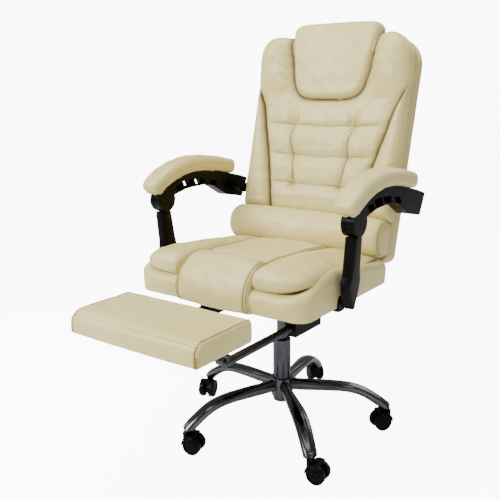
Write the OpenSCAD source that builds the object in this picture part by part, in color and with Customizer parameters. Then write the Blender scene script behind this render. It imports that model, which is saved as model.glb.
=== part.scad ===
/* [Base] */
// Distance from the column axis to each caster stem
leg_reach = 298; // [260:1:330]
// Direction of the first leg, seen from above
leg_turn = 173.7; // [150:0.1:190]
// Height of the leg centre line where it leaves the hub
leg_hub_z = 121; // [110:1:132]
// Height of a leg above its centre line at the hub
leg_hub_h = 17; // [14:0.5:20]
// Half width of a leg at its widest
leg_half_w = 21; // [17:0.5:24]
// Outer radius of the hub
hub_r = 31; // [29:0.5:34]
// Underside of the hub
hub_z = 94; // [88:1:100]
// Height of the hub
hub_h = 50; // [44:1:56]

/* [Casters] */
// Radius of a caster wheel
wheel_r = 25; // [22:0.5:27]
// Width of one wheel
wheel_w = 17; // [14:0.5:19]
// Clearance between the stem and each wheel of a caster
stem_side_gap = 0.8; // [0.5:0.1:1.5]
// Distance from the stem to the wheel axle
caster_trail = 21; // [18:0.5:24]
// Radius of the caster stem
stem_r = 5.5; // [5:0.1:6]
// Length of the stem inside the leg
stem_in = 22; // [18:1:26]
// Radius of the wheel axle
axle_r = 3; // [2.5:0.1:3.5]

/* [Gas lift] */
// Outer radius of the column tube
column_r = 25; // [24:0.5:27]
// Wall of the column tube
column_wall = 2; // [1.5:0.1:2.5]
// Top of the column tube
column_top = 258; // [250:1:259]
// Radius of the gas cylinder
cylinder_r = 14; // [13:0.1:15]
// Wall of the gas cylinder
cylinder_wall = 4; // [3:0.1:5]
// Length of the gas cylinder
cylinder_h = 196; // [190:1:198]
// Radius of the gas rod
rod_r = 5; // [4:0.1:6]
// Travel of the gas lift
lift_travel = 85; // [70:1:85]
// Radial clearance of shafts that turn or slide
running_gap = 0.06; // [0.03:0.01:0.09]

/* [Seat] */
// Underside of the seat
seat_z = 432; // [425:1:440]
// Half width of the seat
seat_half_w = 257; // [245:1:258]
// Front of the seat box, measured forward of the column axis
seat_front = 288; // [270:1:300]
// Rear of the seat box, measured behind the column axis
seat_rear = 122; // [110:1:124]
// Height of the seat box at its welt
seat_box_h = 62; // [54:1:66]
// Height of the upper seat pads over the box
seat_pad_h = 54; // [44:1:60]
// Half width of the centre panel
panel_half_w = 110; // [95:1:125]
// How far the centre panel hangs in front of the box
apron_t = 22; // [16:1:28]
// Thickness of the plywood boards
board_t = 12; // [9:1:15]
// Gap between one cushion and the next
soft_gap = 0.4; // [0.3:0.1:0.8]

/* [Back] */
// Lean of the back from the vertical
back_lean = 15; // [10:0.5:18]
// Step from the side of the seat in to the side of the back
back_step = 7; // [5:0.5:20]
// Height of the shoulders above the datum at the foot of the back
back_top = 543; // [500:1:560]
// How far the back hangs below its datum
back_drop = 84; // [70:1:86]
// Depth of the rear shell
shell_t = 55; // [45:1:60]
// Thickness of the back cushion at its edge
back_edge_t = 20; // [14:1:26]
// Crown of the back cushion over its edge
back_crown = 12; // [8:1:20]
// Half width of the headrest
head_half_w = 143; // [125:1:155]
// Foot of the headrest above the datum
head_foot = 362; // [345:1:375]
// Top of the headrest above the datum
head_top = 583; // [570:1:600]
// How far the headrest stands out
head_t = 32; // [26:1:40]
// Top of the lumbar roll above the datum
lumbar_top = 50; // [40:1:56]
// How far the lumbar roll reaches below the datum
lumbar_drop = 60; // [50:1:66]
// How far the lumbar roll stands out
lumbar_t = 88; // [70:1:94]

/* [Arms] */
// Gap between the seat and the foot of an upright
arm_gap = 11; // [10.5:0.5:14]
// Thickness of the arm frames
arm_t = 34; // [28:1:38]
// Radius of the pivot disc
disc_r = 32; // [28:0.5:36]
// Thickness of an upright
upright_t = 30; // [26:1:32]
// Half width of an arm pad
pad_half_w = 33; // [28:1:37]
// Thickness of an arm pad
pad_t = 41; // [34:1:46]
// Radius of the arm pivot pins
pivot_r = 5; // [4:0.1:6]
// Clearance of the open rear pivot
open_gap = 1; // [0.5:0.1:1.5]

/* [Footrest] */
// Half width of the footrest pad
foot_half_w = 187; // [170:1:195]
// Depth of the footrest pad, front to rear
foot_d = 181; // [160:1:200]
// Thickness of the footrest pad
foot_t = 53; // [44:1:58]
// Underside of the footrest pad
foot_z = 412; // [408:1:416]
// Distance from the middle of the chair to a footrest rail
rail_x = 138; // [130:1:145]
// Radius of a footrest rail
rail_r = 10; // [8:0.5:11]
// Height of the footrest rails
rail_z = 366; // [362:1:368]

/* [Hidden] */
$fn = 48;
cut = 1;
touch_gap = 0.3;
sheet_t = 5;
leg_count = 5;
leather = "#dccfa5";
black_steel = "#17171a";
black_plastic = "#101012";
plywood = "#b08a5a";
rail_grey = "#34353a";

// The leg centre line and section, hub to caster, as shares of the sizes above
leg_r_shares = [0.08, 0.22, 0.40, 0.58, 0.70, 0.79, 0.87, 0.94, 0.985, 1];
leg_z_shares = [1.01, 1, 1, 0.985, 0.935, 0.85, 0.73, 0.61, 0.51, 0.44];
leg_w_shares = [0.62, 0.66, 0.80, 0.98, 1, 0.98, 0.94, 0.9, 0.86, 0.84];
leg_h_shares = [1, 0.98, 0.90, 0.76, 0.72, 0.72, 0.74, 0.76, 0.78, 0.78];
leg_side_n = 20;
leg_square = 0.75;
leg_end_z = leg_hub_z * leg_z_shares[len(leg_z_shares) - 1];

// Which way each caster trails, seen from above
caster_turns = [-72, 15, 5, -122, 141];
wheel_gap = 2 * (stem_r + stem_side_gap);
yoke_gap = 1.5;
yoke_top = leg_end_z - touch_gap;
yoke_boss_r = 11;
yoke_clear = 3.5;
yoke_hood_r = wheel_r + yoke_clear;
tread_round = 4;
hubcap_r = 13;
hubcap_h = 2;
axle_over = 1.5;

column_foot = 76;
column_floor_t = 4;
bush_h = 66;
bush_lip = 2;
rod_flange_r = 15;
rod_flange_h = 6;
lift_spare = 6.7;
cylinder_z = column_foot + column_floor_t + touch_gap + rod_flange_h + lift_travel + lift_spare;
cylinder_floor = 5;
rod_below = 5;
rod_top = column_top - rod_below;
piston_h = 8;
button_r = 4;
button_h = 9;
button_travel = 3;

// Under the seat
housing_half_w = 62;
housing_front = 96;
housing_rear = 62;
housing_z = 352;
housing_h = 46;
socket_wall = 6;
socket_r = cylinder_r + socket_wall;
socket_drop = 6;
plate_half_w = 104;
plate_front = 150;
plate_rear = 112;
lever_r = 5;
lever_y = -24;
lever_z = 383;
lever_out = 214;
lever_knob_l = 62;
lever_knob_r = 8;
board_inset = 16;

pad_rear_gap = 14;
pad_side_gap = 2;
pad_over = 3;
pad_draw = 8;
box_top = seat_z + seat_box_h;
turn_in = 12;
apron_over = 2;

// The back stands on this datum and is drawn upright, then leaned
back_half_w = seat_half_w - back_step;
back_y = 150;
back_z = 560;
shell_y = back_edge_t * 0.7;
shell_inset = 1;
shoulder_r = 78;
edge_round = 22;
forward_from = 330;
forward_share = 0.25;
board_half_w = 210;
board_foot = 14;
board_head = 23;
board_l = back_top + back_drop - board_foot - board_head;
strap_in = 120;
strap_h = 28;
strap_gap = 1.5;

// Faces of the back cushion and the headrest
face_y = shell_y / 2;
head_seat_y = shell_y / 3;
head_bow = 4;
hood_depth = 42;

// The recline hinge and two places of the armrest linkage, behind the column and over the floor
disc_y = -143;
disc_z = 646;
foot_pivot_y = -135;
foot_pivot_z = 452;
recline_y = 158;
recline_z = 456;
disc_at = [disc_y, disc_z];
foot_pivot_at = [foot_pivot_y, foot_pivot_z];
recline_at = [recline_y, recline_z];
// The rear pin of an arm closes the parallelogram
rear_pivot_at = disc_at + recline_at - foot_pivot_at;
hinge_ear_r = 9;
hinge_pin_r = 5;
hinge_x = 153;
hinge_bar_t = 6;
hinge_bar_w = 16;
hinge_bar_l = 140;
bracket_h = 30;
bracket_gap = 3;
bracket_front = 20;
bracket_half_w = 12;
recline_lever_y = 60;
recline_lever_z = 412;
recline_lever_r = 5;
paddle_gap = 6;
paddle_t = 10;
paddle_l = 45;
paddle_h = 14;

// Arm frame, side view: lengths from the pivot disc back to the rear corner, and up to the top of the arch
arch_l = 367;
arch_h = 65;
arch_top_shares = [
  [-0.082, 0.185], [-0.033, 0.46], [0.049, 0.69], [0.139, 0.86], [0.256, 0.985], [0.376, 1], [0.561, 0.89],
  [0.831, 0.585], [0.992, 0.32]
];
arch_low_shares = [
  [0.913, -0.54], [0.711, -0.31], [0.621, -0.03], [0.51, 0.277], [0.354, 0.354], [0.221, 0.323],
  [0.139, 0.23], [0.065, 0.14]
];
window_shares = [
  [0.139, 0.43, 0.06, 0.185], [0.245, 0.52, 0.093, 0.26], [0.379, 0.51, 0.101, 0.246],
  [0.534, 0.385, 0.079, 0.2]
];
window_level_share = 0.28;
window_rim = 2.5;
web_t = 20;
tongue_t = 12;
neck_half_w = 13;
upright_half_w = 24;
upright_foot = 14;
upright_lean_in = 14;
upright_thin = 1;
upright_z_shares = [1, 0.93, 0.86, 0.7, 0.56, 0.47, 0.38, 0.28, 0.16, 0.05, 0];
upright_w_shares = [0.82, 0.84, 0.88, 0.94, 0.98, 1.1, 1.34, 1.22, 0.92, 0.5, 0.32];
upright_lean_shares = [0, 0.06, 0.14, 0.3, 0.46, 0.56, 0.67, 0.8, 0.93, 1, 1];
// The middle of an arm, from the middle of the chair
arm_x = seat_half_w + arm_gap + upright_lean_in + upright_t / 2;
side_gap = 3;
foot_flange_l = 80;
foot_plate_w = 26;
foot_plate_t = 4;
boss_l = 3;
foot_pin_l = 22;

// The hinge of the footrest board, under its rear part
foot_rear = -386;
foot_hinge_y = -432;
foot_hinge_z = 377;
foot_rod_r = 5;
foot_eye_r = 12;
foot_plate_x = 118;
guide_front = 165;
guide_rear = 45;
guide_half_w = 16;
guide_half_h = 21;
rail_rear = 62;
crossbar_y = -395;
crossbar_r = 8;

function signed_pow(v, e) = sign(v) * pow(abs(v), e);
function blend(a, b, t) = a + (b - a) * t;
function smooth(t) = let(u = min(1, max(0, t))) u * u * (3 - 2 * u);
function centre_of(ring) = [for (i = [0:2]) sum([for (p = ring) p[i]]) / len(ring)];
function sum(list, i = 0) = i >= len(list) ? 0 : list[i] + sum(list, i + 1);
function curve_point(a, b, c, d, t) =
  0.5 * (2 * b + (c - a) * t + (2 * a - 5 * b + 4 * c - d) * t * t + (3 * b - a - 3 * c + d) * t * t * t);
// A smooth line through a few points
function curve(points, steps) = [
  for (i = [0:len(points) - 2], k = [0:steps - 1])
    curve_point(points[max(i - 1, 0)], points[i], points[i + 1], points[min(i + 2, len(points) - 1)], k / steps),
  points[len(points) - 1]
];

// A closed skin through rings that have the same number of points
module skin(rings) {
  n = len(rings[0]);
  m = len(rings);
  points = [for (ring = rings) each ring, centre_of(rings[0]), centre_of(rings[m - 1])];
  walls = [
    for (i = [0:m - 2], j = [0:n - 1])
      let(a = i * n + j, b = i * n + (j + 1) % n) each [[a, a + n, b], [b, a + n, b + n]]
  ];
  first = [for (j = [0:n - 1]) [n * m, j, (j + 1) % n]];
  last = [for (j = [0:n - 1]) [n * m + 1, (m - 1) * n + (j + 1) % n, (m - 1) * n + j]];
  polyhedron(points, concat(walls, first, last));
}

// One ring of a rounded bar, across the second and third axis given
function bar_ring(at, across, up, half_w, half_h, n, square) = [
  for (j = [0:n - 1])
    let(a = 360 * j / n)
      at + across * half_w * signed_pow(cos(a), square) + up * half_h * signed_pow(sin(a), square)
];

// Rings of a rounded cushion along z, drawn in at its ends, with its face towards -y
function cushion_rings(half, n, m, side_square, end_square, end_share) = [
  for (i = [0:m])
    let(a = (2 * i / m - 1) * end_share, s = pow(cos(a), end_square),
        z = half.z * signed_pow(sin(a), end_square))
      [for (j = [0:n - 1])
        let(b = 360 * j / n)
          [half.x * s * signed_pow(cos(b), side_square), half.y * s * signed_pow(sin(b), side_square), z]]
];

module lean_back() {
  translate([0, back_y, back_z]) rotate([-back_lean, 0, 0]) children();
}

module place_leg(k) {
  rotate([0, 0, leg_turn + 360 / leg_count * k]) children();
}

module place_caster(k) {
  place_leg(k) translate([leg_reach, 0, 0])
    rotate([0, 0, caster_turns[k] - leg_turn - 360 / leg_count * k]) children();
}

module place_side(side) {
  mirror([side < 0 ? 1 : 0, 0, 0]) children();
}

// A rod along x between two places
module cross_rod(x0, x1, r) {
  translate([x0, 0, 0]) rotate([0, 90, 0]) cylinder(r = r, h = x1 - x0);
}

module base_hub() {
  color("#3b3d42") difference() {
    union() {
      translate([0, 0, hub_z]) cylinder(r = hub_r, h = hub_h);
      translate([0, 0, hub_z - column_wall * 3]) cylinder(r = column_r + column_wall * 2, h = hub_h);
    }
    translate([0, 0, hub_z - hub_h]) cylinder(r = column_r, h = hub_h * 3);
  }
}

// Slope of the leg centre line at station i, as a unit vector in r and z
function leg_slope(i) =
  let(a = max(i - 1, 0), b = min(i + 1, len(leg_r_shares) - 1),
      d = [leg_reach * (leg_r_shares[b] - leg_r_shares[a]), leg_hub_z * (leg_z_shares[b] - leg_z_shares[a])])
    i == len(leg_r_shares) - 1 ? [0, -1] : d / norm(d);

module base_leg(k) {
  rings = [
    for (i = [0:len(leg_r_shares) - 1])
      let(t = leg_slope(i))
        bar_ring([leg_reach * leg_r_shares[i], 0, leg_hub_z * leg_z_shares[i]], [0, 1, 0], [-t[1], 0, t[0]],
                 leg_half_w * leg_w_shares[i], leg_hub_h * leg_h_shares[i], leg_side_n, leg_square)
  ];
  color("#4a4c52") place_leg(k) difference() {
    skin(rings);
    translate([0, 0, hub_z - hub_h]) cylinder(r = hub_r, h = hub_h * 3);
    translate([leg_reach, 0, leg_end_z - cut]) cylinder(r = stem_r + running_gap, h = stem_in + cut);
  }
}

module caster_stem(k) {
  color("#8d9096") place_caster(k)
    translate([0, 0, yoke_top - stem_in]) cylinder(r = stem_r, h = stem_in * 2 - cut);
}

module wheel_space(grow) {
  for (s = [-1, 1])
    translate([caster_trail, s * (wheel_gap / 2 + wheel_w / 2), wheel_r]) rotate([90, 0, 0])
      cylinder(r = wheel_r + grow, h = wheel_w + 2 * grow, center = true);
}

module caster_yoke(k) {
  web = wheel_gap - 2 * yoke_gap;
  color(black_plastic) place_caster(k) difference() {
    union() {
      translate([0, 0, yoke_top - stem_in - cut]) cylinder(r = yoke_boss_r, h = stem_in + cut);
      intersection() {
        translate([caster_trail, 0, wheel_r]) rotate([90, 0, 0])
          cylinder(r = yoke_hood_r, h = wheel_gap + 2 * (wheel_w - cut), center = true);
        translate([-leg_reach, -leg_reach, wheel_r])
          cube([leg_reach + caster_trail + wheel_r / 3, leg_reach * 2, yoke_top - wheel_r]);
      }
      translate([caster_trail, 0, wheel_r]) rotate([90, 0, 0])
        cylinder(r = wheel_r / 2, h = web, center = true);
      translate([0, -web / 2, wheel_r - wheel_r / 2]) cube([caster_trail, web, wheel_r]);
    }
    difference() {
      wheel_space(cut);
      translate([0, -web / 2, 0]) cube([wheel_r * 3, web, wheel_r * 3]);
    }
    translate([caster_trail, 0, wheel_r]) rotate([90, 0, 0])
      cylinder(r = axle_r + running_gap, h = wheel_r * 3, center = true);
    translate([0, 0, yoke_top - stem_in]) cylinder(r = stem_r, h = stem_in * 2);
  }
}

module caster_wheels(k) {
  half = wheel_w / 2;
  color(black_plastic) place_caster(k) translate([caster_trail, 0, wheel_r]) rotate([90, 0, 0]) {
    for (s = [-1, 1]) translate([0, 0, s * (wheel_gap / 2 + half)]) mirror([0, 0, s < 0 ? 1 : 0])
      rotate_extrude() difference() {
        union() {
          translate([axle_r, -half]) square([wheel_r - tread_round - axle_r, wheel_w]);
          translate([axle_r, -half + tread_round]) square([wheel_r - axle_r, wheel_w - 2 * tread_round]);
          for (e = [-1, 1])
            translate([wheel_r - tread_round, e * (half - tread_round)]) circle(r = tread_round);
        }
        translate([hubcap_r, half - hubcap_h]) square([wheel_r - hubcap_r - tread_round * 1.5, hubcap_h * 2]);
      }
    cylinder(r = axle_r, h = wheel_gap + 2 * wheel_w - 2 * axle_over, center = true);
  }
}

module column_tube() {
  color("#2c2d31") difference() {
    translate([0, 0, column_foot]) cylinder(r = column_r, h = column_top - column_foot);
    translate([0, 0, column_foot + column_floor_t]) cylinder(r = column_r - column_wall, h = column_top);
    translate([0, 0, column_foot - cut]) cylinder(r = rod_r + running_gap, h = column_top);
  }
}

module column_bush() {
  color("#1a1a1c") difference() {
    translate([0, 0, column_top - bush_h]) cylinder(r = column_r - column_wall, h = bush_h - bush_lip);
    translate([0, 0, column_top - bush_h - cut]) cylinder(r = cylinder_r + running_gap, h = bush_h + 2 * cut);
  }
}

module gas_rod() {
  floor_z = column_foot + column_floor_t;
  color("#b9bcc2") {
    translate([0, 0, column_foot]) cylinder(r = rod_r, h = rod_top - column_foot);
    translate([0, 0, floor_z + touch_gap]) cylinder(r = rod_flange_r, h = rod_flange_h);
    translate([0, 0, rod_top - piston_h])
      cylinder(r = cylinder_r - cylinder_wall - running_gap, h = piston_h);
  }
}

module gas_cylinder() {
  color("#222326") difference() {
    translate([0, 0, cylinder_z]) cylinder(r = cylinder_r, h = cylinder_h);
    translate([0, 0, cylinder_z + cylinder_floor])
      cylinder(r = cylinder_r - cylinder_wall, h = cylinder_h - cylinder_floor - button_h);
    translate([0, 0, cylinder_z - cut]) cylinder(r = rod_r + running_gap, h = cylinder_floor * 2);
    translate([0, 0, cylinder_z + cylinder_h - button_h - cut])
      cylinder(r = button_r + running_gap, h = button_h * 2);
  }
}

module gas_button() {
  color("#c9a23b") translate([0, 0, cylinder_z + cylinder_h - button_h + button_travel + touch_gap])
    cylinder(r = button_r, h = button_h);
}

// Pressed steel box that grips the gas cylinder and carries the height lever
module seat_mechanism() {
  width = 2 * housing_half_w;
  depth = housing_front + housing_rear;
  color(black_steel) difference() {
    union() {
      difference() {
        translate([-housing_half_w, -housing_front, housing_z]) cube([width, depth, housing_h]);
        translate([sheet_t - housing_half_w, sheet_t - housing_front, housing_z + sheet_t])
          cube([width - 2 * sheet_t, depth - 2 * sheet_t, housing_h]);
      }
      translate([0, 0, housing_z - socket_drop]) cylinder(r = socket_r, h = socket_drop + sheet_t);
    }
    translate([0, 0, housing_z - socket_drop - cut]) cylinder(r = cylinder_r, h = cylinder_h);
    translate([-housing_half_w - cut, lever_y, lever_z]) rotate([0, 90, 0])
      cylinder(r = lever_r + running_gap, h = sheet_t + 2 * cut);
  }
}

// Steel plate between the mechanism and the seat board, with the flanges that join them
module seat_plate() {
  top = housing_z + housing_h;
  color(black_steel) difference() {
    union() {
      translate([-plate_half_w, -plate_front, seat_z - sheet_t])
        cube([2 * plate_half_w, plate_front + plate_rear, sheet_t]);
      for (s = [-1, 1])
        translate([s * (housing_half_w - sheet_t / 2) - sheet_t / 2, -housing_front, top])
          cube([sheet_t, housing_front + housing_rear, seat_z - top]);
    }
    for (x = [-1, 1], y = [-1, 1])
      translate([x * (plate_half_w - sheet_t * 3), y * (plate_rear - sheet_t * 3), seat_z - sheet_t - cut])
        cylinder(r = sheet_t - cut, h = sheet_t + 2 * cut);
  }
}

// Lever that turns in the housing wall, with its finger over the gas button
module height_lever() {
  finger_r = cylinder_r + sheet_t * 1.5;
  color(black_plastic) {
    translate([0, lever_y, lever_z]) cross_rod(-lever_out, -housing_half_w + sheet_t * 3, lever_r);
    translate([0, lever_y, lever_z]) cross_rod(-lever_out - lever_knob_l, -lever_out, lever_knob_r);
    translate([-housing_half_w + sheet_t * 2, lever_y - lever_r, lever_z - lever_r])
      cube([housing_half_w - sheet_t * 2 + lever_r, lever_r * 2, lever_r]);
    translate([-lever_r, lever_y - lever_r, lever_z - lever_r])
      cube([lever_r * 2, -lever_y + finger_r - cylinder_r, lever_r]);
  }
}

module seat_board() {
  color(plywood) translate([board_inset - seat_half_w, board_inset - seat_front, seat_z])
    cube([2 * (seat_half_w - board_inset), seat_front + seat_rear - 2 * board_inset, board_t]);
}

module seat_cushion() {
  depth = seat_front + seat_rear;
  half = [seat_half_w, seat_box_h / 2, depth / 2];
  color(leather) difference() {
    translate([0, seat_rear - depth / 2, seat_z + seat_box_h / 2]) rotate([90, 0, 0])
      skin(cushion_rings(half, 36, 18, 0.32, 0.28, 84));
    translate([board_inset - seat_half_w - soft_gap, board_inset - seat_front - soft_gap, seat_z - cut])
      cube([
        2 * (seat_half_w - board_inset + soft_gap), depth - 2 * (board_inset - soft_gap),
        board_t + cut + soft_gap
      ]);
  }
}

// Rise of the upper seat pads, as a share of their height, from the front edge to under the lumbar roll
function pad_rise(t) =
  t < 0.45 ? blend(0.9, 1, smooth(t / 0.45)) : blend(1, 0.14, pow((t - 0.45) / 0.55, 1.6));

// Upper pad beside the centre panel, drawn in at both ends
module seat_bolster(side) {
  x0 = panel_half_w + soft_gap;
  x1 = seat_half_w - pad_side_gap;
  low = box_top + soft_gap;
  color(leather) place_side(side) skin([
    for (i = [0:14])
      let(a = 84 * (i / 7 - 1), t = (1 + signed_pow(sin(a), 0.6)) / 2, s = pow(cos(a), 0.5),
          high = (seat_pad_h + pad_over) * pad_rise(t))
        bar_ring([(x0 + x1) / 2, blend(soft_gap - seat_front, seat_rear - pad_rear_gap, t), low + high / 2],
                 [-1, 0, 0], [0, 0, 1], (x1 - x0) / 2 - (1 - s) * pad_draw, high / 2 * s, 22, 0.55)
  ]);
}

// Waterfall panel: over the top of the box, round its front edge and down to its underside
module seat_centre_panel() {
  low = box_top + soft_gap;
  pivot = [turn_in - seat_front, box_top - turn_in];
  corner = seat_pad_h * pad_rise(0);
  top_run = [
    for (i = [0:9])
      let(t = 1 - i / 9, high = seat_pad_h * pad_rise(t) * (i == 0 ? 0.5 : 1))
        [blend(pivot[0], seat_rear - pad_rear_gap, t), low + high / 2, high / 2, 90]
  ];
  turn = [
    for (i = [1:6])
      let(a = 90 - 15 * i, half = blend(corner, apron_t, i / 6) / 2, r = turn_in + soft_gap + half)
        [pivot[0] - r * cos(a), pivot[1] + r * sin(a), half, a]
  ];
  drop = [
    for (i = [1:4])
      let(half = apron_t / 2 * (1 - 0.75 * pow(i / 4, 4)))
        [-seat_front - soft_gap - half, blend(pivot[1], seat_z - apron_over, i / 4), half, 0]
  ];
  color(leather) skin([
    for (s = concat(top_run, turn, drop))
      bar_ring([0, s[0], s[1]], [1, 0, 0], [0, -cos(s[3]), sin(s[3])],
               panel_half_w - soft_gap, s[2], 24, 0.42)
  ]);
}

// Side view of a hinge bracket: a plate under the seat board that rises behind it to the recline hinge
module hinge_bracket_plate() {
  top = seat_z - touch_gap;
  reach = seat_rear + bracket_gap;
  rotate([90, 0, 90]) linear_extrude(sheet_t) union() {
    translate(recline_at) circle(r = hinge_ear_r);
    polygon([
      [bracket_front, top - bracket_h], [bracket_front, top], [reach, top],
      recline_at + hinge_ear_r * [cos(125), sin(125)], recline_at + hinge_ear_r * [cos(-45), sin(-45)],
      [reach, top - bracket_h]
    ]);
  }
}

module seat_hinge_brackets() {
  inner = hinge_bar_t / 2 + touch_gap;
  color(black_steel) for (s = [-1, 1]) place_side(s) difference() {
    union() {
      translate([hinge_x - inner - sheet_t, 0, 0]) hinge_bracket_plate();
      translate([hinge_x + inner, 0, 0]) hinge_bracket_plate();
      translate([hinge_x - bracket_half_w, bracket_front, seat_z - touch_gap - sheet_t])
        cube([2 * bracket_half_w, seat_rear + bracket_gap - bracket_front, sheet_t]);
    }
    translate([0, recline_at[0], recline_at[1]]) cross_rod(0, seat_half_w, hinge_pin_r);
    translate([0, recline_lever_y, recline_lever_z]) cross_rod(0, seat_half_w, recline_lever_r + running_gap);
  }
}

module recline_pins() {
  half = hinge_bar_t / 2 + touch_gap + sheet_t;
  color("#9a9da3") for (s = [-1, 1]) place_side(s) translate([0, recline_at[0], recline_at[1]]) {
    cross_rod(hinge_x - half - sheet_t, hinge_x + half + sheet_t, hinge_pin_r);
    for (x = [hinge_x - half - sheet_t, hinge_x + half]) cross_rod(x, x + sheet_t, hinge_ear_r - cut);
  }
}

// Rod across the right hinge bracket with a paddle beside the seat
module recline_lever() {
  outer = seat_half_w + paddle_gap;
  color(black_plastic) translate([0, recline_lever_y, recline_lever_z]) {
    cross_rod(-outer - cut, bracket_half_w - hinge_x, recline_lever_r);
    translate([-outer - paddle_t, -paddle_l, -paddle_h / 2])
      cube([paddle_t, paddle_l + paddle_h / 2, paddle_h]);
  }
}

// A place of the chair's side view in the back's own frame
function in_back(p) =
  let(y = p[0] - back_y, z = p[1] - back_z)
    [y * cos(back_lean) - z * sin(back_lean), y * sin(back_lean) + z * cos(back_lean)];

module back_hinge_bars() {
  ear = in_back(recline_at);
  y0 = shell_y + soft_gap + board_t + touch_gap;
  color(black_steel) lean_back() for (s = [-1, 1]) place_side(s) difference() {
    translate([hinge_x - hinge_bar_t / 2, 0, 0]) rotate([90, 0, 90]) linear_extrude(hinge_bar_t) union() {
      translate([y0, hinge_ear_r - back_drop]) square([hinge_bar_w, hinge_bar_l]);
      translate(ear) circle(r = hinge_ear_r);
      polygon([
        [y0, hinge_ear_r * 2 - back_drop], ear - [hinge_ear_r, 0], ear + [hinge_ear_r, 0],
        [y0 + hinge_bar_w, hinge_ear_r * 2 - back_drop]
      ]);
    }
    translate([0, ear[0], ear[1]]) cross_rod(0, seat_half_w, hinge_pin_r + running_gap);
  }
}

module back_board() {
  color(plywood) lean_back() translate([-board_half_w, shell_y + soft_gap, board_foot - back_drop])
    cube([2 * board_half_w, board_t, board_l]);
}

// Half width of the back at a height: straight sides and round shoulders
function back_w(z) =
  let(over = max(0, z - back_top + shoulder_r))
    back_half_w - shoulder_r + sqrt(max(0, shoulder_r * shoulder_r - over * over));
function forward(z) = forward_share * pow(max(0, z - forward_from), 2) / back_top;

// Front view of the back cushion: straight sides and round shoulders
module back_outline() {
  low = lumbar_top + soft_gap;
  inner = back_half_w - shoulder_r;
  translate([-back_half_w, low]) square([2 * back_half_w, back_top - shoulder_r - low]);
  translate([-inner, low]) square([2 * inner, back_top - low]);
  for (s = [-1, 1]) translate([s * inner, back_top - shoulder_r]) circle(r = shoulder_r);
}

// Plain block with the bend of the back in its side view, and the seat of the headrest cut into its top
module back_cushion() {
  low = lumbar_top + soft_gap;
  front = [
    for (t = [0:0.25:1]) let(z = blend(forward_from, back_top - edge_round, t)) [-back_crown - forward(z), z]
  ];
  color(leather) lean_back() difference() {
    intersection() {
      translate([-back_half_w - cut, 0, 0]) rotate([90, 0, 90]) linear_extrude(2 * (back_half_w + cut))
        polygon(concat(
          [[shell_y, low], [-back_crown, low]], front,
          [[face_y - forward(back_top), back_top], [shell_y, back_top]]
        ));
      translate([0, shell_y + cut, 0]) rotate([90, 0, 0]) linear_extrude(back_edge_t * 6) back_outline();
    }
    translate([0, head_seat_y, 0]) rotate([90, 0, 0]) linear_extrude(head_t * 3) polygon(head_outline());
  }
}

// Outline of the headrest: wide at the top, with tapered sides and a round foot
head_outline_shares = [
  [0, 0], [0.34, 0.012], [0.62, 0.09], [0.8, 0.28], [0.93, 0.56], [1, 0.84], [0.97, 0.96], [0.8, 0.994],
  [0.4, 1], [0, 1]
];
function head_outline() =
  let(right = curve([for (p = head_outline_shares) [head_half_w * p[0], blend(head_foot, head_top, p[1])]], 3))
    concat(right, [for (i = [len(right) - 2:-1:1]) [-right[i][0], right[i][1]]]);

// Headrest: a shield that stands out of the back cushion, and a hood that folds over the top of the back
head_front_shares = [
  [0, 0.985], [0.2, 0.985], [0.45, 0.985], [0.66, 0.955], [0.82, 0.88], [0.93, 0.72], [0.985, 0.48], [1, 0.22]
];
head_hood_shares = [[1, 0.76], [0.9, 0.86], [0.6, 0.94], [0.25, 0.975], [0.08, 0.985]];
module headrest_cushion() {
  mid = [0, (head_foot + head_top) / 2];
  rear = head_seat_y - soft_gap;
  hood_z = back_top + soft_gap;
  color(leather) lean_back() skin(concat(
    [for (l = head_hood_shares) [for (p = head_outline())
      let(q = mid + (p - mid) * l[1])
        [q[0], rear + soft_gap / 2 + hood_depth * (l[0] - 0.08), max(q[1], hood_z)]]],
    [for (l = head_front_shares) [for (p = head_outline())
      let(q = mid + (p - mid) * l[1], bow = head_bow * smooth((q[1] - head_foot) / (head_top - head_foot)))
        [q[0], rear - l[0] * (head_t + bow), q[1]]]]
  ));
}

module lumbar_cushion() {
  half = [back_half_w, lumbar_t / 2, (lumbar_top + lumbar_drop) / 2];
  rings = [
    for (i = [0:18])
      let(a = 84 * (i / 9 - 1), s = pow(cos(a), 0.5), t = signed_pow(sin(a), 0.55))
        [for (j = [0:23])
          let(b = 15 * j, out = half.y * (signed_pow(sin(b), 0.6) - 1) * s * blend(1, 0.72, t * t))
            [half.z * signed_pow(cos(b), 0.6) * blend(1, s, 0.8), half.y + out, half.x * t]]
  ];
  color(leather) lean_back()
    translate([0, shell_y - soft_gap - half.y, lumbar_top - half.z]) rotate([0, 90, 0]) skin(rings);
}

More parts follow.
